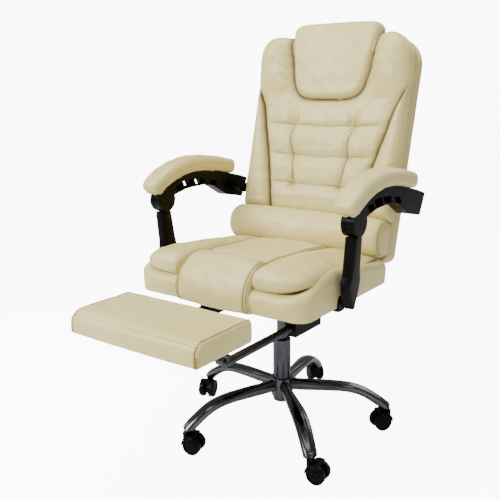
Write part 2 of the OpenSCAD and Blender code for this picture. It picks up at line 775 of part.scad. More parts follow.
// Padded rear shell, open for the board, the hinge bars and the arm straps
module back_shell() {
  half = shell_t / 2;
  board_y = shell_y + soft_gap;
  arm = in_back(rear_pivot_at);
  levels = concat(
    [for (a = [90:-22.5:0]) edge_round * (1 - sin(a)) - back_drop],
    [for (t = [0.25, 0.5, 0.75]) blend(edge_round - back_drop, back_top - shoulder_r, t)],
    [for (a = [0:15:90]) back_top - shoulder_r + shoulder_r * 0.995 * sin(a)]
  );
  color("#d3c497") lean_back() difference() {
    skin([
      for (z = levels)
        let(low = 1 - min(1, (z + back_drop) / edge_round), h = half * blend(0.8, 1, sqrt(1 - low * low)))
          bar_ring([0, board_y + h, z], [-1, 0, 0], [0, -1, 0], back_w(z) - shell_inset, h, 24, 0.3)
    ]);
    translate([-board_half_w - soft_gap, board_y - half, board_foot - back_drop - soft_gap])
      cube([2 * (board_half_w + soft_gap), half + board_t + soft_gap, board_l + 2 * soft_gap]);
    for (s = [-1, 1]) place_side(s) {
      translate([hinge_x - hinge_bar_t / 2 - soft_gap, board_y, -back_drop - cut])
        cube([
          hinge_bar_t + 2 * soft_gap, board_t + hinge_bar_w + 3 * soft_gap,
          hinge_ear_r + hinge_bar_l + 2 * cut
        ]);
      translate([strap_in - soft_gap, board_y + board_t, arm[1] - strap_h / 2 - soft_gap])
        cube([back_half_w, sheet_t + 2 * soft_gap, strap_h + 2 * soft_gap]);
    }
  }
}

// Steel straps behind the back board that reach out and forward to the rear pins of the arms
module arm_rear_brackets() {
  arm = in_back(rear_pivot_at);
  y0 = shell_y + soft_gap + board_t + touch_gap;
  x0 = back_half_w + strap_gap;
  color(black_steel) lean_back() for (s = [-1, 1]) place_side(s) {
    translate([strap_in, y0, arm[1] - strap_h / 2]) cube([x0 + sheet_t - strap_in, sheet_t, strap_h]);
    translate([x0, arm[0], arm[1] - strap_h / 2]) cube([sheet_t, y0 + sheet_t - arm[0], strap_h]);
    translate([0, arm[0], arm[1]]) {
      cross_rod(x0, x0 + sheet_t, strap_h / 2);
      cross_rod(x0, arm_x - arm_t / 2 - cut, strap_h / 3);
      cross_rod(x0, arm_x + arm_t / 2 - sheet_t - cut, pivot_r);
    }
  }
}

// Steel angles from under the seat to the lower pivots of the arm uprights
module arm_foot_brackets() {
  top = seat_z - touch_gap;
  x0 = seat_half_w + side_gap;
  color(black_steel) for (s = [-1, 1]) place_side(s) {
    translate([x0 - foot_flange_l, foot_pivot_y - foot_plate_w / 2, top - sheet_t])
      cube([foot_flange_l + foot_plate_t, foot_plate_w, sheet_t]);
    translate([x0, foot_pivot_y - foot_plate_w / 2, top - sheet_t])
      cube([foot_plate_t, foot_plate_w, foot_pivot_z - top + sheet_t]);
    translate([0, foot_pivot_y, foot_pivot_z]) {
      cross_rod(x0, x0 + foot_plate_t, foot_plate_w / 2);
      cross_rod(x0, x0 + foot_plate_t + boss_l, foot_plate_w / 3);
      cross_rod(x0, x0 + foot_plate_t + boss_l + foot_pin_l, pivot_r);
    }
  }
}

// Upright: a flared blade that leans in towards the seat, with a tongue between the cheeks of the arm frame
module arm_upright(side) {
  z1 = disc_z - disc_r - cut;
  z0 = foot_pivot_z - upright_foot;
  pin_end = seat_half_w + side_gap + foot_plate_t + boss_l + foot_pin_l + cut;
  color(black_plastic) place_side(side) difference() {
    union() {
      skin([
        for (i = [0:len(upright_z_shares) - 1])
          let(t = upright_lean_shares[i])
            bar_ring(
              [arm_x - upright_lean_in * t, blend(disc_y, foot_pivot_y, t), blend(z0, z1, upright_z_shares[i])],
              [1, 0, 0], [0, -1, 0],
              upright_t / 2 - upright_thin * t, upright_half_w * upright_w_shares[i], 20, 0.5
            )
      ]);
      translate([0, disc_y, disc_z]) cross_rod(arm_x - tongue_t / 2, arm_x + tongue_t / 2, disc_r - cut);
      translate([arm_x - tongue_t / 2, disc_y - neck_half_w, z1 - cut])
        cube([tongue_t, 2 * neck_half_w, disc_r]);
    }
    translate([0, disc_y, disc_z]) cross_rod(0, arm_x * 2, pivot_r + running_gap);
    translate([0, foot_pivot_y, foot_pivot_z]) cross_rod(0, pin_end, pivot_r + running_gap);
  }
}

function arch_place(p) = disc_at + [arch_l * p[0], arch_h * p[1]];

// Side view of the arm frame: an arch from the pivot disc to a square block beside the back
module arm_side_view() {
  top = curve([for (p = arch_top_shares) arch_place(p)], 4);
  low = curve([for (i = [1:len(arch_low_shares) - 1]) arch_place(arch_low_shares[i])], 4);
  polygon(concat([disc_at], top, [arch_place(arch_low_shares[0])], low));
}

module window_outline(w, grow) {
  half = [w[2] * arch_l / 2 + grow, w[3] * arch_h / 2 + grow];
  tilt = (w[0] - window_level_share) * 0.8;
  polygon([for (p = [[-1, -1], [1, -1], [1, 1], [-1, 1]])
    arch_place(w) + [p[0] * half[0] - p[1] * half[1] * 0.5, p[1] * half[1] - p[0] * half[0] * tilt]]);
}

module arm_frame(side) {
  color(black_plastic) place_side(side) difference() {
    union() {
      translate([arm_x - arm_t / 2, 0, 0]) rotate([90, 0, 90]) linear_extrude(arm_t) arm_side_view();
      translate([0, disc_y, disc_z]) cross_rod(arm_x - arm_t / 2, arm_x + arm_t / 2, disc_r);
    }
    translate([0, disc_y, disc_z]) {
      cross_rod(arm_x - tongue_t / 2 - touch_gap, arm_x + tongue_t / 2 + touch_gap, disc_r + cut);
      cross_rod(arm_x - arm_t, arm_x + arm_t, pivot_r);
    }
    translate([0, rear_pivot_at[0], rear_pivot_at[1]])
      cross_rod(arm_x - arm_t, arm_x + arm_t / 2 - sheet_t, pivot_r + open_gap);
    for (w = window_shares) {
      translate([arm_x - arm_t, 0, 0]) rotate([90, 0, 90]) linear_extrude(arm_t * 2) window_outline(w, 0);
      for (x = [arm_x - arm_t / 2 - cut, arm_x + web_t / 2])
        translate([x, 0, 0]) rotate([90, 0, 90])
          linear_extrude((arm_t - web_t) / 2 + cut) window_outline(w, window_rim);
    }
  }
}

module arm_pivot_bolt(side) {
  color("#2a2b2e") place_side(side) translate([0, disc_y, disc_z])
    cross_rod(arm_x - arm_t / 2, arm_x + arm_t / 2, pivot_r);
}

// Arm pad: follows the top of the arch and folds down over its front
module arm_pad(side) {
  line = curve([for (i = [0:len(arch_top_shares) - 2]) arch_place(arch_top_shares[i])], 2);
  last = len(line) - 1;
  color(leather) place_side(side) skin([
    for (i = [last:-1:0])
      let(d = line[min(i + 1, last)] - line[max(i - 1, 0)], n = [-d[1], d[0]] / norm(d),
          s = max(0.16, sqrt(1 - pow(abs(2 * i / last - 1), 7))),
          at = line[i] + n * (pad_t / 2 + soft_gap + touch_gap))
        bar_ring([arm_x, at[0], at[1]], [1, 0, 0], [0, n[0], n[1]], pad_half_w * s, pad_t / 2 * s, 18, 0.62)
  ]);
}

// Blocks under the seat that the footrest rails slide through
module footrest_guides() {
  top = seat_z - touch_gap;
  length = guide_front - guide_rear;
  color(black_steel) for (s = [-1, 1]) place_side(s) difference() {
    union() {
      translate([rail_x - guide_half_w, -guide_front, rail_z - guide_half_h])
        cube([2 * guide_half_w, length, 2 * guide_half_h]);
      translate([rail_x - sheet_t / 2, -guide_front, rail_z]) cube([sheet_t, length, top - rail_z]);
      translate([rail_x - guide_half_w, -guide_front, top - sheet_t])
        cube([2 * guide_half_w, length, sheet_t]);
    }
    translate([rail_x, cut - guide_rear, rail_z]) rotate([90, 0, 0])
      cylinder(r = rail_r + running_gap, h = length + 2 * cut);
  }
}

module footrest_rail(side) {
  color(rail_grey) place_side(side) difference() {
    union() {
      translate([rail_x, -rail_rear, rail_z]) rotate([90, 0, 0])
        cylinder(r = rail_r, h = -rail_rear - foot_hinge_y - foot_rod_r);
      translate([0, foot_hinge_y, foot_hinge_z])
        cross_rod(rail_x - rail_r + cut, rail_x + rail_r - cut, foot_eye_r);
    }
    translate([0, foot_hinge_y, foot_hinge_z]) cross_rod(0, rail_x * 2, foot_rod_r + running_gap);
  }
}

module footrest_crossbar() {
  color(rail_grey) difference() {
    translate([0, crossbar_y, rail_z]) cross_rod(-rail_x, rail_x, crossbar_r);
    for (s = [-1, 1])
      translate([s * rail_x, 0, rail_z]) rotate([90, 0, 0]) cylinder(r = rail_r, h = -crossbar_y * 2);
  }
}

module footrest_hinge() {
  color(black_steel) {
    translate([0, foot_hinge_y, foot_hinge_z])
      cross_rod(-rail_x - rail_r - cut, rail_x + rail_r + cut, foot_rod_r);
    for (s = [-1, 1]) place_side(s) {
      translate([foot_plate_x, foot_hinge_y - foot_rod_r * 2, foot_hinge_z - foot_rod_r])
        cube([sheet_t, foot_rod_r * 4, foot_z - foot_hinge_z + foot_rod_r]);
      translate([foot_plate_x - foot_rod_r * 4, foot_hinge_y - foot_rod_r * 5, foot_z - sheet_t])
        cube([foot_rod_r * 4 + sheet_t, foot_rod_r * 10, sheet_t]);
    }
  }
}

module footrest_board() {
  color(plywood) translate([board_inset - foot_half_w, foot_rear - foot_d + board_inset, foot_z])
    cube([2 * (foot_half_w - board_inset), foot_d - 2 * board_inset, board_t]);
}

module footrest_cushion() {
  half = [foot_half_w, foot_t / 2, foot_d / 2];
  color(leather) difference() {
    translate([0, foot_rear - half.z, foot_z + half.y]) rotate([90, 0, 0])
      skin(cushion_rings(half, 32, 16, 0.26, 0.3, 84));
    translate([
      board_inset - foot_half_w - soft_gap, foot_rear - foot_d + board_inset - soft_gap, foot_z - cut
    ])
      cube([
        2 * (foot_half_w - board_inset + soft_gap), foot_d - 2 * (board_inset - soft_gap),
        board_t + cut + soft_gap
      ]);
  }
}

base_hub();
base_leg(0);  // base_leg_1
base_leg(1);  // base_leg_2
base_leg(2);  // base_leg_3
base_leg(3);  // base_leg_4
base_leg(4);  // base_leg_5
caster_stem(0);  // caster_stem_1
caster_stem(1);  // caster_stem_2
caster_stem(2);  // caster_stem_3
caster_stem(3);  // caster_stem_4
caster_stem(4);  // caster_stem_5
caster_yoke(0);  // caster_yoke_1
caster_yoke(1);  // caster_yoke_2
caster_yoke(2);  // caster_yoke_3
caster_yoke(3);  // caster_yoke_4
caster_yoke(4);  // caster_yoke_5
caster_wheels(0);  // caster_wheels_1
caster_wheels(1);  // caster_wheels_2
caster_wheels(2);  // caster_wheels_3
caster_wheels(3);  // caster_wheels_4
caster_wheels(4);  // caster_wheels_5
column_tube();
column_bush();
gas_rod();
gas_cylinder();
gas_button();
seat_mechanism();
seat_plate();
height_lever();
recline_lever();
seat_board();
seat_cushion();
seat_centre_panel();
seat_bolster(1);  // seat_bolster_left
seat_bolster(-1);  // seat_bolster_right
seat_hinge_brackets();
recline_pins();
back_hinge_bars();
back_board();
back_cushion();
back_shell();
headrest_cushion();
lumbar_cushion();
arm_rear_brackets();
arm_foot_brackets();
arm_upright(1);  // arm_upright_left
arm_upright(-1);  // arm_upright_right
arm_frame(1);  // arm_frame_left
arm_frame(-1);  // arm_frame_right
arm_pad(1);  // arm_pad_left
arm_pad(-1);  // arm_pad_right
arm_pivot_bolt(1);  // arm_pivot_bolt_left
arm_pivot_bolt(-1);  // arm_pivot_bolt_right
footrest_guides();
footrest_rail(1);  // footrest_rail_left
footrest_rail(-1);  // footrest_rail_right
footrest_crossbar();
footrest_hinge();
footrest_board();
footrest_cushion();
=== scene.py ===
import math
import bpy
import numpy as np
from mathutils import Matrix, Vector


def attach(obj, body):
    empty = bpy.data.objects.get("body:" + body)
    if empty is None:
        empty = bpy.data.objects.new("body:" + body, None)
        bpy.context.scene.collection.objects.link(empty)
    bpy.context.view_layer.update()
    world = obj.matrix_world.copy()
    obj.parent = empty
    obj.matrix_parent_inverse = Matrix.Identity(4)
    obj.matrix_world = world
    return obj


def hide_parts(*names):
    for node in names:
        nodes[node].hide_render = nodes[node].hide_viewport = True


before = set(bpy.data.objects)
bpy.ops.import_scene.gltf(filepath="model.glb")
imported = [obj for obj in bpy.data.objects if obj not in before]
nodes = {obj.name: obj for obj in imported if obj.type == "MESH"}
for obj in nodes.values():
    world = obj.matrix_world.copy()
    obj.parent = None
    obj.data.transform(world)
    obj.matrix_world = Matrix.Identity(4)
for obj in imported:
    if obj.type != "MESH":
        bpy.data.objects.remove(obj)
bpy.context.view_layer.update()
bpy.ops.object.select_all(action="DESELECT")
print("frame loaded:", len(nodes), "nodes")

# Camera, floor and light
view = dict(turn=35.425, rise=13.096, roll=0.557, away=1.84522, lens=48.933, across=-0.036519,
            height=0.537138, shiftX=-0.0357, shiftY=-0.0171)
studio = dict(floorSize=30, room=(1.0, 0.995, 0.985), roomPower=0.30, skyPower=10.0, floorPower=9.0,
              keyPower=165, keySize=1.9, fillPower=15, fillSize=2.4, topPower=78, topSize=2.6, rimPower=26)


def addCamera():
    turn, rise, roll = (math.radians(view[k]) for k in ("turn", "rise", "roll"))
    back = Vector((math.sin(turn) * math.cos(rise), -math.cos(turn) * math.cos(rise), math.sin(rise)))
    right = Vector((math.cos(turn), math.sin(turn), 0))
    up = back.cross(right)
    place = right * view["across"] + Vector((0, 0, view["height"])) + back * view["away"]
    sideways = right * math.cos(roll) - up * math.sin(roll)
    upright = up * math.cos(roll) + right * math.sin(roll)
    bpy.ops.object.camera_add()
    camera = bpy.context.object
    camera.name = "photoCamera"
    turned = Matrix((sideways, upright, back)).transposed().to_4x4()
    turned.translation = place
    camera.matrix_world = turned
    camera.data.lens = view["lens"]
    camera.data.sensor_width = 36
    camera.data.shift_x = view["shiftX"]
    camera.data.shift_y = view["shiftY"]
    camera.data.clip_end = 60
    bpy.context.scene.camera = camera


def addLight(name, place, aim, size, power, tint=(1, 1, 1)):
    bpy.ops.object.light_add(type="AREA", location=place)
    light = bpy.context.object
    light.name = name
    light.rotation_euler = (Vector(aim) - Vector(place)).to_track_quat("-Z", "Y").to_euler()
    light.data.shape = "DISK"
    light.data.size = size
    light.data.energy = power
    light.data.color = tint


addCamera()
middle = (0, 0, 0.6)
addLight("key", (-1.5, -2.6, 2.5), middle, studio["keySize"], studio["keyPower"])
addLight("fill", (2.7, -1.6, 1.2), middle, studio["fillSize"], studio["fillPower"])
addLight("top", (0.1, -0.3, 3.2), middle, studio["topSize"], studio["topPower"])
addLight("rim", (0.6, 2.4, 2.2), middle, studio["keySize"], studio["rimPower"])


def addRoom():  # the camera sees a white wall, the chair is lit and mirrored by a softer one
    world = bpy.data.worlds.new("paleRoom")
    bpy.context.scene.world = world
    world.use_nodes = True
    tree = world.node_tree
    dim = tree.nodes["Background"]
    wall = tree.nodes.new("ShaderNodeBackground")
    for node, power in ((dim, studio["roomPower"]), (wall, studio["skyPower"])):
        node.inputs["Color"].default_value = (*studio["room"], 1)
        node.inputs["Strength"].default_value = power
    seen = tree.nodes.new("ShaderNodeLightPath")
    mixed = tree.nodes.new("ShaderNodeMixShader")
    tree.links.new(seen.outputs["Is Camera Ray"], mixed.inputs[0])
    tree.links.new(dim.outputs[0], mixed.inputs[1])
    tree.links.new(wall.outputs[0], mixed.inputs[2])
    tree.links.new(mixed.outputs[0], tree.nodes["World Output"].inputs["Surface"])


addRoom()


# Shader maths
class Wire:  # a socket that can be added, multiplied and so on
    def __init__(self, tree, socket=None):
        self.tree, self.socket = tree, socket

    def node(self, kind, settings=None, values=None, out=0):
        made = self.tree.nodes.new(kind)
        for name, value in (settings or {}).items():
            if name == "stops":
                while len(made.color_ramp.elements) < len(value):
                    made.color_ramp.elements.new(0.5)
                for stop, (place, tone) in zip(made.color_ramp.elements, value):
                    stop.position, stop.color = place, (tone, tone, tone, 1)
            else:
                setattr(made, name, value)
        for name, value in (values or {}).items():
            if isinstance(value, Wire):
                self.tree.links.new(value.socket, made.inputs[name])
            else:
                made.inputs[name].default_value = value
        return Wire(self.tree, made.outputs[out])

    def maths(self, operation, a, b=0.0):
        return self.node("ShaderNodeMath", {"operation": operation}, {0: a, 1: b})

    def __add__(self, other): return self.maths("ADD", self, other)
    def __sub__(self, other): return self.maths("SUBTRACT", self, other)
    def __mul__(self, other): return self.maths("MULTIPLY", self, other)
    def __rsub__(self, other): return self.maths("SUBTRACT", other, self)
    __radd__, __rmul__ = __add__, __mul__

    def span(self, low, high):  # 0 below low, 1 above high
        return self.node("ShaderNodeMapRange", {}, {"Value": self, "From Min": low, "From Max": high})

    def mix(self, a, b):  # colour a where the mask is 0, colour b where it is 1
        made = self.tree.nodes.new("ShaderNodeMix")
        made.data_type = "RGBA"
        for name, value in (("Factor", self), ("A", a), ("B", b)):
            coloured = name != "Factor"
            socket = next(s for s in made.inputs if s.name == name and (s.type == "RGBA") == coloured)
            if isinstance(value, Wire):
                self.tree.links.new(value.socket, socket)
            else:
                socket.default_value = value
        return Wire(self.tree, next(s for s in made.outputs if s.type == "RGBA"))


def newMaterial(name):
    made = bpy.data.materials.new(name)
    made.use_nodes = True
    return made, Wire(made.node_tree), made.node_tree.nodes["Principled BSDF"]


def plug(wire, shader, **sockets):
    for name, value in sockets.items():
        name = "Base Color" if name == "Colour" else name
        if isinstance(value, Wire):
            wire.tree.links.new(value.socket, shader.inputs[name])
        else:
            shader.inputs[name].default_value = value


def bump(wire, height, depth, strength=1.0, under=None):
    values = {"Height": height, "Distance": depth, "Strength": strength}
    if under:
        values["Normal"] = under
    return wire.node("ShaderNodeBump", {}, values)


def hue(r, g, b):  # a colour as a picture editor gives it, 0 to 255
    linear = (c / 255 / 12.92 if c <= 10 else ((c / 255 + 0.055) / 1.055) ** 2.4 for c in (r, g, b))
    return (*linear, 1)


# light and mid are tones mixed at random; deep is the colour of the grain's pits and also the painted shade
# in creases, seams and under edges
leather = dict(light=hue(226, 212, 146), mid=hue(215, 198, 124), deep=hue(88, 72, 30), grain=520,
               crease=62, grainDepth=0.00020, creaseDepth=0.0004, roughness=0.38, shine=0.42,
               coat=0.22, coatRoughness=0.35)


def makeLeather(name, light, mid):
    material, wire, shader = newMaterial(name)
    place = wire.node("ShaderNodeTexCoord", out="Object")
    cells = wire.node("ShaderNodeTexVoronoi", {"feature": "DISTANCE_TO_EDGE"},
                      {"Vector": place, "Scale": leather["grain"]}).span(0, 0.35)
    folds = wire.node("ShaderNodeTexNoise", {}, {"Vector": place, "Scale": leather["crease"], "Detail": 5.0,
                                                 "Roughness": 0.62, "Distortion": 0.6})
    cloud = wire.node("ShaderNodeTexNoise", {}, {"Vector": place, "Scale": 4.5, "Detail": 3.0})
    # the crease attribute is painted shade: where it is high, the leather's colour darkens towards deep
    creaseShade = wire.node("ShaderNodeAttribute", {"attribute_name": "crease"}, out="Fac")
    tone = cloud.span(0.3, 0.7).mix(light, mid)
    tone = (folds.span(0.45, 0.75) * 0.25).mix(tone, mid)
    # grain pits darken a little, and painted shade darkens the creases, seams and under edges
    tone = ((1 - cells) * 0.10 + creaseShade * 0.95).mix(tone, leather["deep"])
    rough = leather["roughness"] + folds * 0.1 - cells * 0.05 + creaseShade * 0.12
    soft = bump(wire, folds.span(0.25, 0.8), leather["creaseDepth"], 0.55)
    plug(wire, shader, Colour=tone, Roughness=rough,
         Normal=bump(wire, cells, leather["grainDepth"], 0.6, soft))
    shader.inputs["Specular IOR Level"].default_value = leather["shine"]
    shader.inputs["Coat Weight"].default_value = leather["coat"]
    shader.inputs["Coat Roughness"].default_value = leather["coatRoughness"]
    return material


plasticShine = 0.09


def makePlastic(name, dark, pale, roughness, grain, depth):
    material, wire, shader = newMaterial(name)
    place = wire.node("ShaderNodeTexCoord", out="Object")
    grains = wire.node("ShaderNodeTexNoise", {}, {"Vector": place, "Scale": grain, "Detail": 2.0})
    cloud = wire.node("ShaderNodeTexNoise", {}, {"Vector": place, "Scale": 14.0, "Detail": 4.0})
    scuff = wire.node("ShaderNodeTexNoise", {}, {"Vector": place, "Scale": 60.0, "Detail": 6.0,
                                                 "Roughness": 0.7})
    worn = scuff.span(0.62, 0.78)
    plug(wire, shader, Colour=(cloud.span(0.35, 0.7) * 0.5 + worn * 0.4).mix(dark, pale),
         Roughness=roughness + worn * 0.14 + cloud * 0.06, Normal=bump(wire, grains, depth, 0.6))
    shader.inputs["Specular IOR Level"].default_value = plasticShine
    return material


def makeMetal(name, dark, pale, roughness, brushed=(40, 40, 900), depth=0.00003):
    material, wire, shader = newMaterial(name)
    place = wire.node("ShaderNodeTexCoord", out="Object")
    along = wire.node("ShaderNodeMapping", {}, {"Vector": place, "Scale": brushed})
    lines = wire.node("ShaderNodeTexNoise", {}, {"Vector": along, "Scale": 1.0, "Detail": 4.0})
    cloud = wire.node("ShaderNodeTexNoise", {}, {"Vector": place, "Scale": 22.0, "Detail": 5.0})
    stain = cloud.span(0.45, 0.75)
    plug(wire, shader, Colour=(lines * 0.5 + stain * 0.4).mix(pale, dark), Metallic=1.0,
         Roughness=roughness + stain * 0.1 + lines * 0.05, Normal=bump(wire, lines, depth, 0.5))
    return material


def makePlywood(name):
    material, wire, shader = newMaterial(name)
    place = wire.node("ShaderNodeTexCoord", out="Object")
    along = wire.node("ShaderNodeMapping", {}, {"Vector": place, "Scale": (3.0, 30.0, 60.0)})
    grain = wire.node("ShaderNodeTexNoise", {}, {"Vector": along, "Scale": 3.0, "Detail": 6.0,
                                                 "Distortion": 1.2})
    plug(wire, shader, Colour=grain.span(0.35, 0.7).mix(hue(190, 150, 100), hue(140, 98, 58)),
         Roughness=0.62 + grain * 0.15, Normal=bump(wire, grain, 0.0003, 0.5))
    return material


cream = makeLeather("creamLeather", leather["light"], leather["mid"])
creamShell = makeLeather("creamShellLeather", hue(221, 205, 138), hue(208, 189, 115))
cordLeather = makeLeather("cordLeather", hue(176, 152, 88), hue(146, 122, 64))
armBlack = makePlastic("armBlack", hue(2, 2, 2), hue(7, 7, 8), 0.32, 1400, 0.00006)
wheelBlack = makePlastic("wheelBlack", hue(3, 3, 4), hue(12, 12, 13), 0.36, 900, 0.00008)
steelBlack = makePlastic("powderBlack", hue(5, 5, 6), hue(16, 16, 17), 0.45, 2200, 0.0001)
railGrey = makeMetal("railGrey", hue(38, 39, 43), hue(78, 80, 85), 0.28)
gunmetal = makeMetal("gunmetal", hue(66, 67, 70), hue(92, 93, 97), 0.13, (6, 6, 6), 0.000004)
tubeBlack = makeMetal("columnPaint", hue(48, 49, 52), hue(80, 81, 86), 0.17)
chrome = makeMetal("chrome", hue(190, 192, 196), hue(225, 227, 230), 0.1)
zinc = makeMetal("zinc", hue(128, 131, 136), hue(176, 179, 184), 0.34)
brass = makeMetal("brass", hue(150, 118, 55), hue(205, 170, 92), 0.3)
plywood = makePlywood("plywood")
thread = makePlastic("thread", hue(186, 160, 104), hue(214, 194, 144), 0.6, 2600, 0.0001)


# Mesh helpers
def points(piece):
    co = np.empty(len(piece.data.vertices) * 3)
    piece.data.vertices.foreach_get("co", co)
    return co.reshape(-1, 3)


def movePoints(piece, co):
    piece.data.vertices.foreach_set("co", np.ascontiguousarray(co, dtype=np.float64).ravel())
    piece.data.update()


def editMode(*steps):
    bpy.ops.object.mode_set(mode="EDIT")
    for step, settings in steps:
        step(**settings)
    bpy.ops.object.mode_set(mode="OBJECT")


def onlySelect(piece):
    bpy.ops.object.select_all(action="DESELECT")
    piece.select_set(True)
    bpy.context.view_layer.objects.active = piece


def addBlock(name, cuts):  # a cube of side 2, cut finely, to be shaped
    bpy.ops.object.select_all(action="DESELECT")
    bpy.ops.mesh.primitive_cube_add(size=2)
    piece = bpy.context.object
    piece.name = name
    editMode((bpy.ops.mesh.select_all, dict(action="SELECT")),
             (bpy.ops.mesh.subdivide, dict(number_cuts=cuts)))
    return piece


def addGrid(name, columns, rows):
    bpy.ops.object.select_all(action="DESELECT")
    bpy.ops.mesh.primitive_grid_add(x_subdivisions=columns, y_subdivisions=rows, size=2)
    piece = bpy.context.object
    piece.name = name
    return piece


def extrudeRim(piece, move):  # pulls the open edge on, to where move() sends its points
    onlySelect(piece)
    editMode((bpy.ops.mesh.select_all, dict(action="DESELECT")), (bpy.ops.mesh.select_non_manifold, {}),
             (bpy.ops.mesh.extrude_edges_move, {}))
    picked = np.zeros(len(piece.data.vertices), bool)
    piece.data.vertices.foreach_get("select", picked)
    co = points(piece)
    co[picked] = move(co[picked])
    movePoints(piece, co)


def closeRim(piece):
    onlySelect(piece)
    editMode((bpy.ops.mesh.select_all, dict(action="DESELECT")), (bpy.ops.mesh.select_non_manifold, {}),
             (bpy.ops.mesh.edge_face_add, {}))


def finishPiece(piece, body, material, slot, *replaced, fill=None, crease=None, angle=60):
    onlySelect(piece)
    # the crease values are painted shade: the leather material darkens its colour where they are high
    if crease is not None:
        layer = piece.data.attributes.new("crease", "FLOAT", "POINT")
        layer.data.foreach_set("value", np.clip(crease, 0, 1).astype(np.float32))
    editMode((bpy.ops.mesh.select_all, dict(action="SELECT")),
             (bpy.ops.mesh.remove_doubles, dict(threshold=1e-5)),
             (bpy.ops.mesh.normals_make_consistent, dict(inside=False)))
    bpy.ops.object.shade_smooth_by_angle(angle=math.radians(angle))
    piece.data.materials.clear()
    piece.data.materials.append(material)
    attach(piece, body)
    if replaced:
        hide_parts(*replaced)
    print("made", piece.name, len(piece.data.polygons), "faces")
    return piece


def smooth(t):
    t = np.clip(t, 0, 1)
    return t * t * (3 - 2 * t)


def dip(distance, width):  # a soft round valley
    return np.exp(-(distance / width) ** 2)


def cusp(distance, width):  # a sharp sewn valley
    return np.exp(-np.abs(distance) / width)


def ripple(x, y, seed, size):  # slow, fixed unevenness of stuffed leather, about -1 to 1
    total = np.zeros_like(x)
    for k in range(6):
        a = seed * 1.7 + k * 2.399
        across = x * math.cos(a) + y * math.sin(a)
        total += np.sin(across * (1 + 0.35 * k) * 6.283 / size + seed * 5.1 + k * k) / 3.2
    return total


def smoothLine(places, t):  # a Catmull-Rom line through the places, at shares t of its length
    places = np.array(places, float)
    ends = np.vstack([2 * places[0] - places[1], places, 2 * places[-1] - places[-2]])
    at = np.linspace(0, len(places) - 1, 40 * (len(places) - 1) + 1)
    i = np.minimum(at.astype(int), len(places) - 2)
    u = (at - i)[:, None]
    a, b, c, d = ends[i], ends[i + 1], ends[i + 2], ends[i + 3]
    line = 0.5 * (2 * b + (c - a) * u + (2 * a - 5 * b + 4 * c - d) * u ** 2
                  + (3 * b - a - 3 * c + d) * u ** 3)
    run = np.concatenate([[0], np.cumsum(np.linalg.norm(np.diff(line, axis=0), axis=1))])
    t = np.clip(t, 0, 1) * run[-1]
    return np.stack([np.interp(t, run, line[:, k]) for k in range(line.shape[1])], -1)


def lineNormal(places, t):
    step = 0.004
    d = smoothLine(places, np.clip(t + step, 0, 1)) - smoothLine(places, np.clip(t - step, 0, 1))
    d /= np.linalg.norm(d, axis=-1, keepdims=True)
    return np.stack([-d[..., 1], d[..., 0]], -1)


def edgeBand(u, flat, size, edge):  # spreads a grid so that its last rows turn a quarter round
    a = np.abs(u)
    turn = np.clip((a - flat) / (1 - flat), 0, 1) * math.pi / 2
    place = np.where(a < flat, a / flat * (size - edge), size - edge + edge * np.sin(turn))
    return np.sign(u) * place, np.cos(turn)


def roundBlock(p, half, radius, flat=0.8):  # cube points to a block with round edges
    half = np.asarray(half, float)
    a = np.abs(p)
    reach = half - radius
    turn = np.clip((a - flat) / (1 - flat), 0, 1) * math.pi / 4
    q = np.where(a < flat, a / flat * reach, reach + radius * np.tan(turn))
    q *= np.sign(p)
    core = np.clip(q, -reach, reach)
    d = q - core
    length = np.linalg.norm(d, axis=1)
    share = np.abs(d).max(1) / np.maximum(length, 1e-12)
    return core + d * share[:, None]


# cube points to a cushion: round rims, wider arcs in its outline
def plumpBlock(p, half, radius, corners, flat=0.74):
    a = np.abs(p[:, :2]).max(1)
    tall = np.abs(p[:, 2])
    side = tall < 1 - 1e-6
    turn = np.where(side, np.clip((tall - flat) / (1 - flat), 0, 1),
                    2 - np.clip((a - flat) / (1 - flat), 0, 1)) * math.pi / 4
    z = np.sign(p[:, 2]) * np.where(side & (tall < flat), tall / flat * (half[2] - radius),
                                    half[2] - radius + radius * np.sin(turn))
    inset = np.where(side | (a > flat), radius * (1 - np.cos(turn)), radius)
    some = np.maximum(a, 1e-9)
    share = np.where(side, 1, some / np.where(a > flat, some ** 2, flat * some))
    x, y = p[:, 0] * share * (half[0] - inset), p[:, 1] * share * (half[1] - inset)
    for sideX, sideY, bend in corners:
        dx, dy = x * sideX - half[0] + bend, y * sideY - half[1] + bend
        inside = (dx > 0) & (dy > 0)
        pull = np.maximum(dx, dy) / np.maximum(np.hypot(dx, dy), 1e-9)
        x = np.where(inside, sideX * (half[0] - bend + dx * pull), x)
        y = np.where(inside, sideY * (half[1] - bend + dy * pull), y)
    return x, y, z


underside = dict(inset=0.018, lift=0.002)


def overBoard(p, x, y, half):  # where the leather underneath turns in on to the board
    inset = underside["inset"]
    return (p[:, 2] < -0.999) & (np.abs(x) < half[0] - inset) & (np.abs(y) < half[1] - inset)


def addPiping(name, places, body, radius, material):  # a sewn cord along a line
    bpy.ops.object.select_all(action="DESELECT")
    bpy.ops.curve.primitive_nurbs_path_add()
    piece = bpy.context.object
    piece.name = name
    curve = piece.data
    curve.splines.clear()
    spline = curve.splines.new("POLY")
    spline.points.add(len(places) - 1)
    spline.points.foreach_set("co", np.hstack([places, np.ones((len(places), 1))]).ravel())
    curve.dimensions = "3D"
    curve.bevel_depth = radius
    curve.bevel_resolution = 3
    curve.use_fill_caps = True
    bpy.ops.object.convert(target="MESH")
    piece = bpy.context.object
    return finishPiece(piece, body, material, "leather_cream")


def onSurface(piece, places, out=0.0):  # the nearest places on a piece, and its normals there
    found = [piece.closest_point_on_mesh(Vector(p)) for p in places]
    normals = np.array([f[2] for f in found])
    return np.array([f[1] for f in found]) + normals * out, normals


stitch = dict(pitch=0.0055, lift=0.0001, half=(0.00045, 0.00045, 0.0019))


